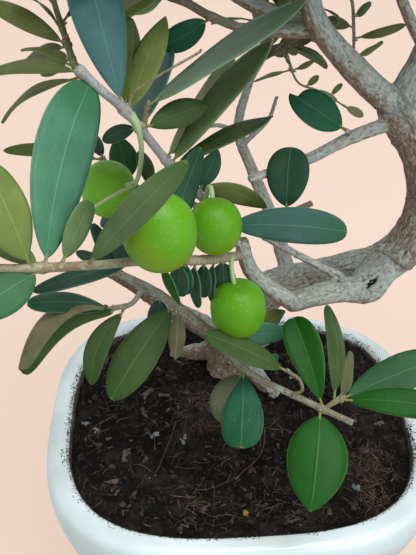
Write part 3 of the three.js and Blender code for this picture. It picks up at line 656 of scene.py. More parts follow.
# A twig has its mass, wood, radii, course and leaves, and a leaf its share along the twig, heading, rise,
# length, width, turn, shape and tint, then arch, fold and oddities where they aren't the usual ones.
FRONT = [
    ("foliage_low_front", SPECKLED, (1.3, 1.0), [
        (-45, -3, 141.5), (-30, -15, 141), (-13, -29, 135), (-2, -39.7, 126.8), (16.2, -50.8, 122.7),
        (28.8, -58.3, 120.6),
    ], [
        (0.22, -133, -84, 18, 9, -16, "oval", DARK, 0.02),
        (0.28, -131, -31, 37, 13, -33, "long", MID, 0.05, 0.0),
        (0.3, -101, -61, 18, 6, 186, "lance", KHAKI, 0.05),
        (0.46, 5, -5, 24, 8, 70, "oval", TEAL, 0.02),
        (0.51, 33, 5, 26, 9, 75, "lance", KHAKI),
        (0.61, -122, -31, 18.5, 12, -16, "oval", SHADE, 0.06, 0.0),
        (0.61, -97, -23, 26, 13, 11, "obovate", DEEP, 0.04, 0.0),
        (0.89, -104, -28, 31, 18, 2, "pointed", BRIGHT, 0.03, 0.05),
        (0.9, 107, 37, 30, 11, -23, "obovate", BRIGHT, 0.06, 0.45),
        (0.01, 116, 32, 20, 8, 30, "oval", DARK),
        (0.03, 79, 41, 17, 8, 47, "oval", DARK),
        (0.04, 172, 30, 17, 7, -1, "long", DARK),
        (0.58, 18, -12, 15, 6, 103, "obovate", TEAL),
    ]),
    ("foliage_low_front", GREEN_WOOD, (0.8, 0.7), [
        (19.6, -53.6, 120.9), (23.6, -52.3, 123.3), (26.5, -50.8, 123.4),
    ], [
        (0.69, 88, 36, 31, 9, 43, "long", MID, 0.08),
        (0.94, 68, -4, 25, 8, 67, "oval", KHAKI, 0.03),
        (1.0, 14, 13, 37, 13, 12, "long", FRESH, 0.03),
        (0.97, -17, 4, 34, 9, 31, "long", BRIGHT, 0.06),
    ]),
    ("foliage_low_front", GREEN_WOOD, (0.6, 0.5), [
        (11.2, -48.5, 123.9), (14.5, -48.7, 125.4), (13.8, -47.4, 128.9), (10.4, -46.6, 131.6),
    ], [
        (1.0, 169, 25, 29, 9, -18, "long", MID, 0.05),
    ]),
    ("foliage_low_front", SPECKLED, (1.0, 0.7), [(-34, -13, 141.6), (-38, -20, 140), (-44, -25, 142)],
    [
        (0.69, -121, -38, 27, 7.5, -20, "long", MID, 0.10, 0.1, {"bow": -0.09}),
        (0.84, -137, -2, 38, 18, -42, "blunt", MID, 0.06, 0.1, {"lap": -2.25, "bow": -0.26}),
        (0.95, -150, 25, 30, 9, -15, "long", DARK),
    ]),
    ("foliage_front_left", TAN_WOOD, (1.5, 0.9), [
        (-2, -23, 159.5), (-16, -35, 166), (-28, -43, 172), (-44, -60, 182), (-66, -70, 189), (-78, -72, 196),
    ], [
        (0.44, -160, -4, 28, 7, -5, "long", DARK),
        (0.62, -23, 50, 42, 7, 92, "long", SAGE, 0.03),
        (0.36, 57, 44, 34, 9, 62, "oval", DARK, 0.02),
        (0.27, 137, -86, 13, 7, -93, "oval", DARK),
        (0.22, -75, -78, 15, 6, 70, "oval", DARK),
        (0.14, -113, -81, 14, 5, 39, "long", DARK),
        (0.1, -88, -78, 11, 7.5, 6, "oval", DARK),
        (0.18, -104, -83, 12.5, 5.5, 15, "oval", DARK),
        (0.25, -114, -86, 11.5, 5, 0, "oval", DEEP),
        (0.35, -47, -55, 14, 5, 93, "lance", BRIGHT),
        (0.69, 60, 36, 18, 7, 70, "blunt", SAGE, 0.03),
        (0.73, 77, 33, 53, 16.5, 50, "blunt", TEAL, 0.03, 0.1, {"bow": 0.055}),
        (0.73, -143, -12, 20, 10.5, -45, "oval", FRESH, 0.05),
        (0.73, 149, 12, 16, 6, -20, "long", SAGE, 0.05),
        (0.76, 168, 76, 27, 13, -21, "long", YOUNG, 0.05),
        (0.9, -130, 18, 23, 10, 20, "long", MID, 0.05),
        (0.93, 120, 30, 31, 9, -20, "long", DARK, 0.05),
        (1, 105, 42, 23, 7, 10, "long", MID, 0.05),
    ]),
    ("foliage_upper_left", GREY_WOOD, (1.35, 1.25), [
        (-3.3, -23.3, 163), (-14, -21, 178), (-23, -20, 188), (-35, -20, 205), (-42, -22, 213),
        (-47, -23, 219),
    ], [
        (0.3, 30, 60, 14, 6, 50, "lance", DARK),
        (0.12, -16, 4, 36.5, 11, 72, "blunt", GREY, 0.02, 0.0, {"bow": 0.03}),
        (0.35, 9, -23, 26, 6.5, 95, "lance", KHAKI, 0.05, 0.1, {"bow": 0.08}),
        (0.47, 39, 35, 48, 10, 3, "long", SAGE, 0.03, 0.15),
        (0.5, 57, 23, 45, 11, 74, "long", PALE, 0.03),
        (0.46, 32, 10, 38, 8, 4, "lance", MID),
        (0.67, 151, -26, 14, 5, -57, "oval", DARK, 0.03),
        (0.66, 19, 11, 21, 8, 48, "lance", MID),
        (0.66, 80, 16, 38, 17, -41, "oval", BLUE_SKY_SHEEN, 0.02),
        (0.76, 85, 30, 33, 12, 61, "oval", KHAKI),
        (0.74, 65, 36, 33, 10, -5, "pointed", YOUNG),
        (0.77, 109, 50, 44, 15, -9, "obovate", BLUE_SKY_SHEEN, 0.03),
        (0.98, 151, -9, 32, 6, -21, "long", KHAKI, 0.05),
    ]),
    ("foliage_upper_left", GREEN_WOOD, (1.2, 0.8), [
        (-43, -21, 213), (-49, -9, 214), (-54, 10, 218), (-58, 23, 225), (-61, 34, 232),
    ], [
        (0.15, 168, -31, 30, 5, -15, "long", KHAKI, 0.10),
        (0.32, 139, -21, 16, 8, -50, "oval", KHAKI),
        (0.45, 148, 17, 30, 6.5, -35, "long", KHAKI, 0.06),
        (0.45, 142, -23, 22, 7, -35, "lance", KHAKI),
        (0.59, 132, 18, 21, 3, 35, "lance", KHAKI, 0.08),
        (0.5, 119, 36, 17, 2.5, 51, "long", KHAKI, 0.08),
        (0.24, 154, 8, 18, 3, -7, "long", KHAKI, 0.12),
        (0.62, 51, 37, 21, 4.5, 105, "lance", MID, 0.06),
        (0.8, 30, 35, 30, 9, 20, "long", KHAKI, 0.05),
        (0.8, 175, 30, 30, 9, -20, "long", MID, 0.05),
        (1, 100, 45, 30, 9, 0, "long", KHAKI, 0.05),
    ]),
    ("foliage_upper_left", RIPE_WOOD, (1.1, 0.7), [
        (-10.1, -21.9, 172.4), (-18, -10.5, 171.5), (-27.6, 2.6, 168.4), (-38, 18.4, 163.9), (-48, 30, 168),
    ], [
        (0.76, 121, 65, 17, 10, -20, "pointed", FRESH),
        (1, 171, 3, 37, 6, -28, "long", KHAKI),
        (0.56, 103, 32, 16, 7, 32, "long", MID),
        (0.99, 121, 26, 16, 7, 11, "long", DARK),
        (0.42, 63, 15, 24, 7, 88, "long", KHAKI),
        (0.67, 160, -47, 24, 10, -32, "oval", DARK),
    ]),
    ("foliage_upper_left", GREEN_WOOD, (1.0, 0.8), [
        (-31.1, -19.7, 200.1), (-30.4, -18.2, 203.2), (-29.6, -17.4, 206.1),
    ], [
        (1.0, 11, 30, 51, 12, 8, "long", SILVER, 0.02, 0.15),
    ]),
    ("foliage_upper_left", TAN_WOOD, (0.4, 0.34), [
        (-35, -19.6, 205.1), (-33, -18.4, 210.5), (-24.4, -16.3, 215.2), (-15.6, -13, 218.9),
        (-14.4, -11, 219.3),
    ], []),
    ("foliage_top_front", RIPE_WOOD, (1.4, 0.9), [
        (-3, 3, 221.5), (-11, 7, 223.8), (-17, 10, 226.5), (-24, 12, 229), (-38, 10, 237), (-50, 4, 248),
    ], [
        (0.14, 173, -30, 18, 8, -85, "oval", DEEP, 0.02),
        (0.38, 175, -10, 18, 6, -60, "long", PALE),
        (0.42, 190, -25, 15, 7, -10, "long", YOUNG),
    ], (0.5, 7)),
    ("foliage_top_front", RIPE_WOOD, (1.1, 0.8), [
        (-24, 12, 229), (-30, 0, 240), (-34, -12, 250),
    ], [], (0.2, 37)),
    ("foliage_top_front", RIPE_WOOD, (1.1, 0.8), [
        (-34, 11, 234.5), (-38, 24, 246), (-46, 30, 256),
    ], [], (0.2, 41)),
    ("foliage_top_front", RIPE_WOOD, (1.1, 0.8), [
        (-17, 10, 226.5), (-16, 10, 240), (-20, 6, 256),
    ], [], (0.3, 43)),
    ("foliage_middle", RIPE_WOOD, (1.1, 0.9), [(2.5, -25.4, 168), (8, -23.5, 172.5), (18.5, -19.7, 175.3)],
    [
        (0.53, 81, 74, 20, 12.5, -1, "blunt", DARK, 0.05, 0.25),
    ]),
    ("foliage_inner", RIPE_WOOD, (0.8, 0.6), [(30, -8, 191), (30, -9.4, 193.2), (29, -12, 195)],
    [
        (0.75, 169, 31, 21, 11, -49, "oval", DEEP, 0.06, 0.25, {"notch": 0.12}),
    ]),
    ("foliage_back", RIPE_WOOD, (0.5, 0.35), [
        (29.4, 92, 179), (33, 88.4, 174), (42.6, 86.8, 170.8), (52.2, 83.8, 165.5),
    ], [
        (0.45, -15, -24, 12, 3.5, 80, "long", PALE),
        (0.35, 30, 28, 7.5, 3, 50, "oval", KHAKI),
        (1, -14, -25, 9.5, 3.8, 72, "long", PALE),
        (0.74, 33, 31, 8, 2.5, 45, "long", KHAKI),
    ]),
    ("foliage_back", RIPE_WOOD, (1.0, 0.6), [
        (18, 63, 210), (36, 84, 216), (52, 96, 209), (54, 89, 196), (53.5, 82.6, 185),
    ], [
        (0.88, -11, 18, 21, 6, 127, "long", KHAKI),
        (0.98, 21, 19, 15, 5, 123, "long", KHAKI),
        (0.76, 36, 16, 11, 6, 107, "oval", MID),
        (0.82, 167, 13, 12, 5, -75, "long", KHAKI),
        (0.64, 130, 46, 9, 4, -54, "oval", MID),
    ]),
    ("foliage_back", RIPE_WOOD, (1.0, 0.6), [
        (20, 66, 215), (26, 86, 214), (28, 100, 203), (26.4, 97.6, 190), (30, 91.5, 178),
    ], [
        (0.76, -45, -44, 10, 5, 54, "oval", KHAKI),
        (0.72, -177, -43, 12, 4, -35, "long", KHAKI),
        (0.99, 13, 22, 12, 3, 106, "lance", KHAKI),
        (0.98, -173, -15, 17, 3, -8, "lance", KHAKI),
        (0.90, 160, 23, 9, 4, -70, "oval", KHAKI),
    ]),
]
CROWN = {
    "foliage_top": ("bough_leader", (-0.2, 0.1, 0.9), 46, 8, 3, False),
    "foliage_top_left": ("bough_upper_left", (-0.5, -0.1, 0.8), 44, 8, 5, True),
    "foliage_left_back": ("bough_left_back", (-0.7, 0.6, 0.4), 42, 8, 11, True),
    "foliage_leader_front": ("bough_leader_front", (-0.1, -0.6, 0.7), 34, 5, 13, False),
    "foliage_right": ("bough_right", (0.8, 0, 0.6), 38, 8, 17, False),
    "foliage_right_back": ("bough_right_back", (0.5, 0.7, 0.5), 40, 8, 19, False),
    "foliage_right_front": ("bough_right_front", (0.6, -0.7, 0.4), 38, 8, 23, True),
    "foliage_back_high": ("bough_back_high", (-0.2, 0.8, 0.5), 42, 8, 29, True),
    "foliage_back": ("bough_back", (0.5, 0.5, 0.8), 30, 5, 31, False),
}
HANGING = ("foliage_right", "foliage_right_back", "foliage_right_front", "foliage_back")
SMALL_LEAVED = {"foliage_back": 0.6}
LEAF_LENGTH = 31
LEAF_ASPECT = 0.34
LEAF_TILT = 52
LEAF_CLEARANCE = 0.7
PAIR_STEP = 11
TWIG_TILT = 48
GOLDEN_ANGLE = math.radians(137.5)
CROWN_FLOOR = 232
CROWN_FLOOR_SLOPE = 0.235
FINE_TWIGS = 3
FINE_TILT = 42
FINE_PAIR_STEP = 9
FINE_LEAF_LENGTH = 27
ROOM_CELL = 6
OLIVE_DROP = 16
STALK_A = [
    (-34.2, -19.9, 204.9), (-32.5, -21.6, 202.3), (-31.8, -21.3, 196.9), (-32.3, -17.7, 189.7),
    (-34.0, -11.6, 180.8), (-36.5, -1.0, 174.0), (-45, 7, 168),
]
UP = Vector((0, 0, 1))


def seeded(seed):
    """The same numbers from 0 to 1 on every run."""
    state = [seed]

    def draw():
        state[0] = (state[0] * 1664525 + 1013904223) % 4294967296
        return state[0] / 4294967296

    return draw


look = seeded(77)
tint_draw = seeded(101)


def tilted_from(axis, tilt, around):
    across = UP if abs(axis.z) < 0.9 else Vector((1, 0, 0))
    across = Quaternion(axis, around) @ (across - axis * across.dot(axis)).normalized()
    return axis * math.cos(math.radians(tilt)) + across * math.sin(math.radians(tilt))


def faced_leaf(base, heading, rise, length, width, turn, shape, tint, arch=0.04, fold=0.1, odd=()):
    h, r = math.radians(heading), math.radians(rise)
    axis = Vector((math.cos(h) * math.cos(r), math.sin(h) * math.cos(r), math.sin(r)))
    normal = Quaternion(axis, math.radians(turn)) @ (UP - axis * axis.z).normalized()
    leaf = dict(base=base, axis=axis, normal=normal, length=length, width=width, shape=shape, tint=tint)
    return {**leaf, "arch": arch, "fold": fold, "notch": 0, "lap": 0, **dict(odd)}


def paired_leaves(course, draw, first, step=PAIR_STEP, size=LEAF_LENGTH):
    """Opposite pairs of leaves, each a quarter turn from the last."""
    leaves = []
    pairs = max(2, round(course.length * (1 - first) / step))
    start = draw() * math.pi
    for pair, side in product(range(pairs), (0, 1)):
        share = first + (1 - first) * (pair + 0.6) / pairs
        along = course.tangent(share)
        around = start + pair * math.pi / 2 + side * math.pi + (draw() - 0.5) * 0.5
        axis = tilted_from(along, LEAF_TILT + (draw() - 0.5) * 20, around)
        roll = (draw() - 0.5) * 0.7
        normal = Quaternion(axis, roll) @ (along - axis * along.dot(axis)).normalized()
        length = size * (0.72 + 0.45 * draw()) * (0.8 if share > 0.85 else 1)
        width = length * LEAF_ASPECT * (0.85 + 0.3 * look())
        leaf = dict(base=course.point(share), axis=axis, normal=normal, length=length, width=width)
        leaf.update(share=share, shape="long", arch=0.02 + 0.07 * look(), fold=0.05 + 0.25 * look(), roll=0.1)
        leaf.update(wave=0.25 * look(), twist=0.5 * (look() - 0.5), notch=0, lap=0)
        leaves.append(leaf)
    return leaves


room = {}


def cell(spot):
    return tuple(math.floor(c / ROOM_CELL) for c in spot)


def fill(spot, radius, owner):
    """A ball that stands in the crown, kept in a coarse grid so that leaves don't grow through it."""
    room.setdefault(cell(spot), []).append((Vector(spot), radius, owner))


def meets(spot, radius, owner=None):
    near = product(*((c - 1, c, c + 1) for c in cell(spot)))
    balls = chain.from_iterable(room.get(key, ()) for key in near)
    return any(whose != owner and (middle - spot).length < radius + size for middle, size, whose in balls)


for name, (course, radii) in limbs.items():
    for share in evenly(int(course.length / 2.5) + 2):
        fill(course.point(share), float(radius_at(radii, share)), "limb")


def leaf_spots(leaf):
    """Points down the middle of a blade and out along its sides, clear of its own stalk."""
    side = leaf["axis"].cross(leaf["normal"])
    for share in np.linspace(0.3, 0.96, 5):
        middle = leaf["base"] + leaf["axis"] * (share * leaf["length"])
        middle += leaf["normal"] * (4 * share * (1 - share) * leaf["arch"] * leaf["length"])
        yield middle
        if share < 0.8:
            yield middle + side * 0.36 * leaf["width"]
            yield middle - side * 0.36 * leaf["width"]


shoots = []
leaf_groups = {"front": [], "crown": []}


def keep_twig(course, radii, nodes, skin, cut=False):
    shoots.append((course, radii, nodes, cut, skin))
    for share in evenly(int(course.length / 3) + 2):
        fill(course.point(share), 0.9, "twig")


def keep_leaf(leaf, group):
    """Adds a leaf. In the crown it has to leave clear what is there already."""
    spots = list(leaf_spots(leaf))
    if group == "crown" and any(meets(spot, LEAF_CLEARANCE) for spot in spots):
        return False
    for spot in spots:
        fill(spot, 0.8, "leaf")
    leaf_groups[group].append(leaf)
    return True


def one_of(*tints):
    return tints[int(len(tints) * tint_draw())]


for name, skin, radii, path, rows, *pairs in FRONT:
    course = Course(path)
    keep_twig(course, radii, [row[0] for row in rows], skin, True)
    for share, *facing in rows:
        leaf = faced_leaf(course.point(share), *facing)
        leaf.update(roll=0.10 + 0.1 * look(), wave=0.25 * look(), twist=0.25 * (look() - 0.5))
        keep_leaf(leaf, "front")
    for first, seed in pairs:
        for leaf in paired_leaves(course, seeded(seed), first):
            leaf["tint"] = one_of(MID, KHAKI, BRIGHT, DARK)
            keep_leaf(leaf, "front")


def grown_course(start, direction, length, lift):
    return Course([start, start + direction * 0.5 * length, start + direction * length + UP * lift * length])


olives = [
    {"stalk": [(-32, -47, 174.5), (-31, -49, 181), (-27, -57, 189)], "width": 18.5},
    {"stalk": [(-6, -26, 161.8), (-6.5, -31, 160), (-4.5, -34, 147)], "width": 17, "square": 2.45},
    {"stalk": STALK_A, "width": 18},
    {"stalk": [(-14, -21, 178), (-12.5, -25, 184.5), (-11.5, -31.3, 175)], "width": 15.5},
]
for olive in olives:
    fill(olive["stalk"][-1], olive["width"] / 2, "olive")
crown_twigs = []
for name, (bough, lean, reach, count, seed, bears) in CROWN.items():
    draw = seeded(seed)
    limb = limbs[bough][0]
    onward = limb.tangent(1)
    start = limb.point(1) + onward * 0.3
    direction = onward.lerp(Vector(lean).normalized(), 0.6).normalized()
    points = [start, start + onward * 0.2 * reach, start + direction * 0.6 * reach, start + direction * reach]
    stem = Course(points)
    twigs = [(Course([limb.point(0.97), *points[1:]]), (0.85 * BOUGHS[bough][2], 0.8), stem, 0.3)]
    for i in range(count):
        share = 0.12 + 0.78 * i / count
        tilted = tilted_from(stem.tangent(share), TWIG_TILT, i * GOLDEN_ANGLE + draw() * 0.6)
        length = reach * (0.82 - 0.45 * share) * (0.8 + 0.35 * draw())
        side_twig = grown_course(stem.point(share), tilted, length, 0.1)
        twigs.append((side_twig, (1.1, 0.7), side_twig, 0.2))
    if bears:
        spot = twigs[2][2].point(0.4)
        olives.append({"stalk": [spot, spot - UP * 0.4 * OLIVE_DROP, spot - UP * OLIVE_DROP], "width": 18})
        fill(spot - UP * OLIVE_DROP, 9, "olive")
    crown_twigs.append((name, twigs, draw))


def too_low(name, tip):
    return name not in HANGING and tip.z < CROWN_FLOOR - CROWN_FLOOR_SLOPE * tip.y


def inside_mass(name, leaf):
    """Whether a leaf keeps to the space of its own mass, with nothing below the crown's open floor."""
    low, high = (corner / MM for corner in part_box(name))
    tip = leaf["base"] + leaf["axis"] * leaf["length"]
    return not too_low(name, tip) and all(low[i] - 0.01 < tip[i] < high[i] + 0.01 for i in range(3))


for name, twigs, draw in crown_twigs:
    grown_leaves = []
    smaller = SMALL_LEAVED.get(name, 1)
    for number, (course, radii, rule_course, first) in enumerate(twigs):
        leaves = paired_leaves(rule_course, draw, first, size=smaller * LEAF_LENGTH)
        blocked = any(meets(course.point(share), radii[1], "twig") for share in (0.4, 0.6, 0.8, 1))
        if number and (blocked or too_low(name, course.point(1))):
            continue
        grown_leaves.append((course, leaves))
        keep_twig(course, radii, [leaf["share"] for leaf in leaves[::2]], RIPE_WOOD)
    for course, leaves in grown_leaves:
        tint = one_of(MID, DARK, KHAKI, MID, TEAL, BRIGHT, KHAKI)
        tint = KHAKI if smaller < 1 else tint
        for leaf in leaves:
            strays = tint_draw() >= 0.7 and smaller == 1
            leaf["tint"] = one_of(MID, DARK, KHAKI) if strays else tint
            if inside_mass(name, leaf):
                keep_leaf(leaf, "crown")
    for course, leaves in grown_leaves:
        for i in range(FINE_TWIGS):
            share = 0.25 + 0.6 * (i + look() * 0.6) / FINE_TWIGS
            tilted = tilted_from(course.tangent(share), FINE_TILT, i * GOLDEN_ANGLE + look() * 6)
            fine = grown_course(course.point(share), tilted, course.length * (0.3 + 0.25 * look()), 0.12)
            if any(meets(fine.point(s), 0.8, "twig") for s in (0.35, 0.6, 0.8, 1)):
                continue
            finer_leaves = paired_leaves(fine, look, 0.25, FINE_PAIR_STEP, smaller * FINE_LEAF_LENGTH)
            kept = 0
            tint = one_of(MID, KHAKI, BRIGHT, DARK, KHAKI)
            for leaf in finer_leaves:
                leaf["tint"] = tint
                kept += inside_mass(name, leaf) and keep_leaf(leaf, "crown")
            if kept > 1:
                keep_twig(fine, (0.75, 0.5), [leaf["share"] for leaf in finer_leaves[::2]], RIPE_WOOD)

# Twigs: wood of this year and last, grey where it has ripened and tan or green towards its tip, with a brown
# collar of old bud scales where each pair of leaves stands. The thick ones in front end in a clean cut.
TWIG_SKINS = {
    "grey_wood": ((0.44, 0.435, 0.425), (0.33, 0.31, 0.29), (0.22, 0.165, 0.125)),
    "tan_wood": ((0.36, 0.34, 0.22), (0.25, 0.185, 0.10), (0.19, 0.10, 0.05)),
    "speckled_wood": ((0.31, 0.33, 0.27), (0.24, 0.20, 0.13), (0.13, 0.085, 0.05)),
    "green_wood": ((0.24, 0.24, 0.10), (0.19, 0.16, 0.08), (0.15, 0.09, 0.045)),
    "ripe_wood": ((0.27, 0.26, 0.19), (0.19, 0.155, 0.105), (0.11, 0.075, 0.05)),
}
CUT_END, COLLAR = len(TWIG_SKINS), len(TWIG_SKINS) + 1
TWIG_CUT = (0.60, 0.54, 0.45)
COLLAR_BROWN = (0.24, 0.165, 0.105)


def twig_finish(name, light, dark, fleck):
    """Thin bark in two tones that wander along the twig, with small scars and a few pale breathing spots."""
    wood = Finish(name, Roughness=0.82, Specular_IOR_Level=0.2)
    tone = wood.noise(150, 4, 0.65).between(0.36, 0.64).mixed(light, dark)
    fine = wood.noise(1100, 4, 0.75)
    tone = (0.85 * fine.between(0.45, 0.37)).mixed(tone, fleck)
    wood.feed(Base_Color=(0.7 * fine.between(0.62, 0.70)).mixed(tone, BARK_WHITE))
    wood.relief(fine + 0.5 * wood.noise(400, 3), 0.35, 0.9)
    return wood


def two_toned(name, roughness, grain, first, second):
    finish = Finish(name, Roughness=roughness)
    finish.feed(Base_Color=finish.noise(*grain).mixed(first, second))
    return finish


twig_skins = [twig_finish(name, *tones) for name, tones in TWIG_SKINS.items()]
twig_skins.append(two_toned("cut_wood", 0.7, (900, 2), TWIG_CUT, TWIG_SKINS["ripe_wood"][0]))
twig_skins.append(two_toned("bud_scales", 0.8, (1200, 3), COLLAR_BROWN, TWIG_SKINS["tan_wood"][0]))

twig_mesh = bmesh.new()
for leaf in leaf_groups["front"]:
    foot, out = leaf["base"], (leaf["axis"] + leaf["normal"]).normalized()
    bud = Course([foot, foot + out * 1.1, foot + out * 2.0])
    add_tube(twig_mesh, bud, (0.5, 0.62, 0.12), 6, 4, COLLAR)
for course, (start, end), nodes, cut, skin in shoots:
    shares = evenly(61)
    radii = start + (end - start) * shares
    for node in nodes:
        radii = radii + 0.28 * end * bell(shares, node, 0.9 / course.length)
    if not cut:
        radii[-1] *= 0.4
        add_tube(twig_mesh, course, radii, 6, max(4, int(course.length / 2.4)), skin)
        continue
    add_tube(twig_mesh, course, radii, 10, max(4, int(course.length / 1.1)), skin, CUT_END)
    for node in nodes:
        ends = max(0, node - 0.2 / course.length), min(1, node + 0.2 / course.length)
        thickness = float(radius_at(radii, node)) + 0.03
        collar = Course([course.point(end) for end in ends])
        add_tube(twig_mesh, collar, (0.9 * thickness, thickness), 10, 4, COLLAR)
piece("twigs", twig_mesh, twig_skins)

# Leaf stalks and blades: a stalk is short, stiff and yellow-green mottled with brown, a thin tube from the
# twig into its blade. The blades in front have more faces than those of the crown.
PETIOLE_GREEN = (0.23, 0.27, 0.07)
PETIOLE_BROWN = (0.19, 0.14, 0.06)
petiole = two_toned("leaf_stalk", 0.5, (300, 2), PETIOLE_GREEN, PETIOLE_BROWN)
stalk_mesh = bmesh.new()
for leaf in chain(*leaf_groups.values()):
    base, axis, length = leaf["base"], leaf["axis"], leaf["length"]
    reach = min(PETIOLE, PETIOLE_SHARE * length) + 1.2
    lift = leaf["normal"] * 0.2 * leaf["arch"] * length
    course = Course([base, base + axis * 0.5 * reach, base + axis * reach + lift])
    add_tube(stalk_mesh, course, (0.64, 0.45, 0.38), 5, 4)
piece("leaf_stalks", stalk_mesh, [petiole])
front_masses = [name for name in dict.fromkeys(name for name, *_ in FRONT) if name not in CROWN]
leaves_piece("leaves_front", "front", 18, 8, front_masses)
leaves_piece("leaves_crown", "crown", 7, 4, list(CROWN))

# What lies on the soil: crumbs of peat, fine roots laid bare by watering, flakes of bark, grit and a little
# moss, with one yellow bead of slow plant food in front. All of it is loose and rests on the compost.
CRUMBS = 1900
CLODS = 190
FIBRES = 340
FLAKES = 110
FIBRE_REACH = (63, 56)
FIBRE_HEAPS = [
    (MOUND, 13, 150), ((46, -31), 12, 110), ((46, -45), 9, 80), ((14, -52), 14, 60), ((-16, -44), 10, 60),
]
CHIPS = [
    (-37, 14, 3.2, 0.9), (-38, 2, 2.6, 1.9), (-44.6, -19.7, 2.9, 1.5), (-47.5, -31.6, 3.8, 0.1),
    (-18, 34, 2.4, 0.6),
]
GRIT = [
    (-33.5, -10.1), (-22.9, -13.4), (-62, -2), (-57.9, -6), (30.1, 22.6), (26, 18), (40, -40), (52, 6),
    (-50, 12),
]
GRIT_DUST = 110
MOSS = [
    (-16.7, -33.8), (-15, -38), (-38.8, -41), (-36, -44), (-61, -32), (-56, -40), (30, -52), (-5, 52),
    (50, 34),
]
MOSS_LEAVES = 46
FOOD_BEAD = (-1.2, -49.2)
FINE_ROOTS = [
    [(10.6, -8.9), (8, -20.8), (-1.7, -31.9), (-14, -37.6), (-24.9, -33.3)],
    [(10.6, -8.9), (17, -10.5), (24, -12.4)],
    [(-25, -4), (-29, -17), (-34, -31)],
    [(-50, 2), (-56, -2), (-60, -9), (-56, -14)],
    [(38, -20), (47, -30), (50, -44)],
]
PEAT, BROWN, STONE, BEAD = range(4)
RIM_CLUMPS = 240
RIM_EDGE = (66.6, 67.8, 69.8), (69.8, 71.4, 72.0)
litter_draw = seeded(2024)


def sway():
    return litter_draw() - 0.5


def off_by(reach, turn, x=0, y=0):
    return x + reach * math.cos(turn), y + reach * math.sin(turn)


def on_soil(x, y, lift=0.0):
    return Vector((x, y, soil_height(x, y) + lift))


def strewn(reach=0.975):
    """A place on the soil, as likely in one part as in another."""
    return squared(*off_by(SOIL_EDGE * reach * math.sqrt(litter_draw()), math.tau * litter_draw()))


@cache
def lump_form(detail):
    form = bmesh.new()
    bmesh.ops.create_icosphere(form, subdivisions=detail, radius=1)
    mesh = as_mesh("lump_form", form)
    return mesh, corners_of(mesh)


def add_lump(bm, spot, size, detail, material):
    """An uneven grain, turned any way."""
    mesh, corners = lump_form(detail)
    uneven = np.array([0.65 + 0.7 * litter_draw() for _ in corners])[:, None]
    any_turn = Quaternion((sway(), sway(), sway(), litter_draw())).normalized()
    shape = (corners * uneven * (1, 0.8, 0.7)) @ np.array(any_turn.to_matrix())
    add_form(bm, mesh, shape * size + np.array(spot), material)


def crumb_finish(name, dark, light):
    finish = Finish(name, Roughness=0.95, Specular_IOR_Level=0.15)
    finish.feed(Base_Color=finish.noise(650, 4, 0.75).between(0.35, 0.65).mixed(dark, light))
    finish.relief(finish.noise(1500, 3, 0.7), 0.4)
    return finish


peat = crumb_finish("peat_crumb", (0.010, 0.008, 0.0075), (0.045, 0.036, 0.031))
peat_brown = crumb_finish("brown_crumb", (0.032, 0.021, 0.016), (0.100, 0.070, 0.054))
grit = crumb_finish("pale_grit", (0.12, 0.135, 0.14), (0.34, 0.37, 0.36))
straw = crumb_finish("dry_fibre", (0.10, 0.075, 0.055), (0.27, 0.215, 0.165))
root_skin = crumb_finish("fine_root", (0.075, 0.042, 0.029), (0.18, 0.11, 0.078))
chip_skin = crumb_finish("bark_flake", (0.05, 0.037, 0.030), (0.17, 0.130, 0.104))
moss_green = crumb_finish("moss", (0.030, 0.050, 0.010), (0.095, 0.14, 0.032))
bead_skin = crumb_finish("plant_food", (0.48, 0.27, 0.06), (0.62, 0.38, 0.10))

crumb_mesh = bmesh.new()
for number in range(CRUMBS + CLODS):
    clod = number >= CRUMBS
    size = 0.9 + 0.9 * litter_draw() if clod else 0.25 + 0.5 * litter_draw() ** 2
    spot = on_soil(*strewn(0.955 if clod else 0.985), 0.1 * size)
    add_lump(crumb_mesh, spot, size, 2 if clod else 1, BROWN if litter_draw() < 0.22 else PEAT)
for x, y in GRIT:
    for _ in range(3):
        spot = on_soil(x + 3 * sway(), y + 3 * sway(), 0.3)
        add_lump(crumb_mesh, spot, 0.5 + 0.8 * litter_draw(), 2, STONE)
for _ in range(GRIT_DUST):
    add_lump(crumb_mesh, on_soil(*strewn(), 0.05), 0.18 + 0.2 * litter_draw(), 1, STONE)
add_lump(crumb_mesh, on_soil(*FOOD_BEAD, 0.9), 1.35, 3, BEAD)
for _ in range(RIM_CLUMPS):
    around, heap = math.tau * litter_draw(), litter_draw() ** 3
    for _ in range(int(7 + 34 * heap)):
        turn, climb = around + 0.12 * sway(), (0.5 + 0.5 * heap) * litter_draw()
        reach, height = (float(radius_at(edge, climb)) for edge in RIM_EDGE)
        spot = (*squared(*off_by(reach, turn)), height)
        size = 0.13 + 0.24 * litter_draw()
        add_lump(crumb_mesh, spot, size, 1, BROWN if litter_draw() < 0.6 else PEAT)
for face in crumb_mesh.faces:
    face.smooth = face.material_index == BEAD
piece("soil_crumbs", crumb_mesh, [peat, peat_brown, grit, bead_skin])

fibre_mesh = bmesh.new()


def lay_fibre(x, y, length):
    """A dry fibre that wanders over the soil, unless it would end up on the rim."""
    turn = math.tau * litter_draw()
    bend = 1.6 * sway()
    points = []
    for step in range(4):
        points.append(on_soil(x, y, 0.12 + 0.6 * (litter_draw() if step in (1, 2) else 0)))
        x, y = off_by(length / 3, turn, x, y)
        turn += bend * litter_draw()
    if all(abs(p.x) < FIBRE_REACH[0] and abs(p.y) < FIBRE_REACH[1] for p in points):
        radii = (0.07 + 0.08 * litter_draw(), 0.05)
        add_tube(fibre_mesh, Course(points), radii, 4, 7, int(litter_draw() < 0.4))


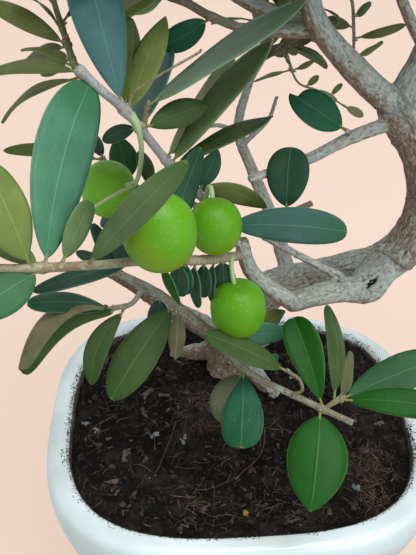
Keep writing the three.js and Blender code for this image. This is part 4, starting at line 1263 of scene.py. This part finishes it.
for _ in range(FIBRES):
    lay_fibre(*strewn(0.97), 2.5 + 7 * litter_draw() ** 2)
for middle, spread, count in FIBRE_HEAPS:
    for _ in range(count):
        turn, away = math.tau * litter_draw(), spread * litter_draw() ** 0.7
        lay_fibre(*off_by(away, turn, *middle), 2 + 5 * litter_draw())
for path in FINE_ROOTS:
    along = Course([(x, y, 0) for x, y in path])
    points = [on_soil(p.x, p.y, 0.35 + 0.4 * litter_draw()) for p in map(along.point, evenly(12))]
    add_tube(fibre_mesh, Course(points), (0.24, 0.2, 0.12), 6, 60, 1)
piece("fine_roots", fibre_mesh, [straw, root_skin])

flake_mesh = bmesh.new()
strewn_flakes = [
    (*strewn(0.94), 0.7 + 1.3 * litter_draw() ** 2, math.tau * litter_draw()) for _ in range(FLAKES)
]
for x, y, size, heading in CHIPS + strewn_flakes:
    lie = Matrix.Translation(on_soil(x, y, 0.3)) @ Matrix.Rotation(heading, 4, "Z")
    lie = lie @ Matrix.Rotation(0.6 * sway(), 4, "X") @ Matrix.Diagonal((size, 0.3 * size, 0.16, 1))
    made = bmesh.ops.create_cube(flake_mesh, size=2, matrix=lie)
    for vert in made["verts"]:
        vert.co += Vector((sway(), sway(), 0.3 * sway())) * 0.6 * size
piece("bark_flakes", flake_mesh, [chip_skin])

moss_mesh = bmesh.new()
for x, y in MOSS:
    for _ in range(MOSS_LEAVES):
        turn, away = math.tau * litter_draw(), 4.5 * litter_draw() ** 0.8
        foot = on_soil(*off_by(away, turn, x, y), -0.1)
        reach = 0.6 + 0.9 * litter_draw()
        tip = foot + Vector((sway(), sway(), 0.55)) * reach
        add_tube(moss_mesh, Course([foot, foot.lerp(tip, 0.5), tip]), (0.12, 0.03), 4, 3)
piece("moss", moss_mesh, [moss_green])

# Olives: ripe-green fruit, plump and a little longer than wide, with a hollow round the stalk, a dark point
# at the other end, and pale dots all over the skin. Each hangs on a thin pale green stalk.
OLIVE_STRETCH = 1.08
OLIVE_GREEN = (0.105, 0.325, 0.004)
OLIVE_YELLOW = (0.200, 0.325, 0.006)
OLIVE_PAINTED_LIGHT = (0.19, 0.50, 0.03)
OLIVE_DOT = (0.30, 0.50, 0.13)
OLIVE_SCAR = (0.05, 0.06, 0.02)
SCARS = [(-10.9, -36.9, 151.7, 0.9), (-28.2, -5.5, 171.5, 1.1), (-19.8, -62, 186, 0.5)]
STALK_GREEN = (0.46, 0.58, 0.32)
STALK_SHADE = (0.36, 0.48, 0.21)
BARE_STALK = [(-34.7, -2.5, 174.5), (-41.7, -9.5, 174.5), (-49.6, -23.8, 176.1), (-54.7, -33.6, 177.3)]
olive_skin = Finish(
    "olive_skin", Specular_IOR_Level=0.3, Subsurface_Weight=0.1, Subsurface_Scale=0.003,
    Subsurface_Radius=(0.6, 1.0, 0.2),
)
ripe = olive_skin.noise(55, 2)
dots = olive_skin.cells(980).between(0.34, 0.12)
few = olive_skin.noise(300, 2).between(0.38, 0.60)
height = olive_skin.node("NewGeometry", {}, "Normal").part(2)
ripened = ripe + 0.12 * olive_skin.noise(400, 3) - 0.16 * height
olive_tone = ripened.between(0.44, 0.80).mixed(OLIVE_GREEN, OLIVE_YELLOW)
# Painted light: olive A, which hangs in the shade of the leaves, is painted a lighter green all over.
painted_light_on_olive_a = olive_skin.away(*STALK_A[-1]).between(14 * MM, 10 * MM)
olive_tone = (0.75 * painted_light_on_olive_a).mixed(olive_tone, OLIVE_PAINTED_LIGHT)
olive_tone = (0.32 * dots * few).mixed(olive_tone, OLIVE_DOT)
for *spot, reach in SCARS:
    scar = olive_skin.away(*spot).between(reach * MM, 0.3 * reach * MM)
    olive_tone = (0.7 * scar).mixed(olive_tone, OLIVE_SCAR)
olive_skin.feed(Base_Color=olive_tone, Roughness=0.36 + 0.12 * ripe)
olive_skin.relief(dots + 0.4 * ripe, 0.12, 0.3)
stalk_skin = two_toned("olive_stalk", 0.5, (200, 2), STALK_GREEN, STALK_SHADE)

fruit_mesh = bmesh.new()
peduncle_mesh = bmesh.new()
for olive in olives:
    course = Course(olive["stalk"])
    middle = Vector(olive["stalk"][-1])
    radius = olive["width"] / 2
    square = olive.get("square", 2.15)
    fruit = bmesh.ops.create_uvsphere(fruit_mesh, u_segments=40, v_segments=26, radius=radius)
    lean = (course.point(0.7) - middle).normalized()
    set_up = UP.rotation_difference(UP.lerp(lean, 0.25)).to_matrix()
    for vert in fruit["verts"]:
        height = vert.co.z / radius
        wide = math.sqrt(max(0, 1 - height * height))
        swell = (wide**square + abs(height) ** square) ** (-1 / square)
        hollow = -0.02 * math.exp(-((1 + height) / 0.01))
        if height > 0:
            hollow = 0.06 * math.exp(-((1 - height) / 0.045) ** 1.2)
        vert.co.x *= swell * (1 + 0.03 * height)
        vert.co.y *= swell * (1 + 0.03 * height)
        vert.co.z = vert.co.z * OLIVE_STRETCH * swell - hollow * radius
        vert.co = set_up @ vert.co + middle
    add_tube(peduncle_mesh, course, 0.75 + 0.5 * bell(evenly(20), 0, 0.08), 8, 18)
add_tube(peduncle_mesh, Course(BARE_STALK), (0.6, 0.45, 0.5), 8, 18)
piece("olives", fruit_mesh, [olive_skin], smooth=True)
piece("olive_stalks", peduncle_mesh, [stalk_skin])

# The floor, the light and the camera: a pale warm sweep with a glow of its own, a soft key lamp above, a
# weaker fill lamp in front on the right and a back lamp, and a camera that looks down from close in front.
FLOOR_COLOUR = (0.23, 0.172, 0.143, 1)
FLOOR_GLOW = (0.665, 0.515, 0.428, 1)
LAMP_WHITE = (0.95, 1.0, 1.04)
SKY_WHITE = (0.96, 1.0, 1.0, 1)
SKY_STRENGTH = 0.60
LAMPS = [
    ("key_lamp", (0.28, -0.22, 1.25), 0.8, 11),
    ("fill_lamp", (0.75, -0.95, 0.50), 1.2, 5.5),
    ("back_lamp", (0.1, 1.2, 0.95), 1.2, 3),
]
LIT_SPOT = Vector((0, 0, 0.14))
CAMERA_SPOT = (-23.6, -204.5, 277.8)
CAMERA_TILT = 34.8
CAMERA_TURN = -3.3
FOCAL_PIXELS = 700
IMAGE_HEIGHT = 555
floor_mesh = bmesh.new()
bmesh.ops.create_circle(floor_mesh, cap_ends=True, segments=96, radius=6)
floor = placed("floor", as_mesh("floor", floor_mesh))
floor_paint = Finish(
    "floor_paint", Base_Color=FLOOR_COLOUR, Roughness=0.95, Specular_IOR_Level=0.1,
    Emission_Color=FLOOR_GLOW, Emission_Strength=1.0,
)
floor.data.materials.append(floor_paint.material)
floor.visible_diffuse = False
floor.visible_glossy = False

world = bpy.data.worlds.new("studio")
world.use_nodes = True
sky = world.node_tree.nodes["Background"].inputs
sky["Color"].default_value = SKY_WHITE
sky["Strength"].default_value = SKY_STRENGTH
bpy.context.scene.world = world
for name, spot, size, power in LAMPS:
    lamp = bpy.data.lights.new(name, "AREA")
    lamp.size = size
    lamp.color = LAMP_WHITE
    lamp.energy = power
    stand = placed(name, lamp)
    stand.location = spot
    stand.rotation_euler = (Vector(spot) - LIT_SPOT).to_track_quat("Z", "Y").to_euler()

lens = bpy.data.cameras.new("camera")
lens.sensor_width = 36
lens.lens = FOCAL_PIXELS / IMAGE_HEIGHT * lens.sensor_width
lens.clip_start = 0.01
camera = placed("camera", lens)
camera.location = Vector(CAMERA_SPOT) * MM
camera.rotation_euler = (math.radians(90 - CAMERA_TILT), 0, math.radians(CAMERA_TURN))
bpy.context.scene.camera = camera
bpy.context.scene.view_settings.view_transform = "Standard"
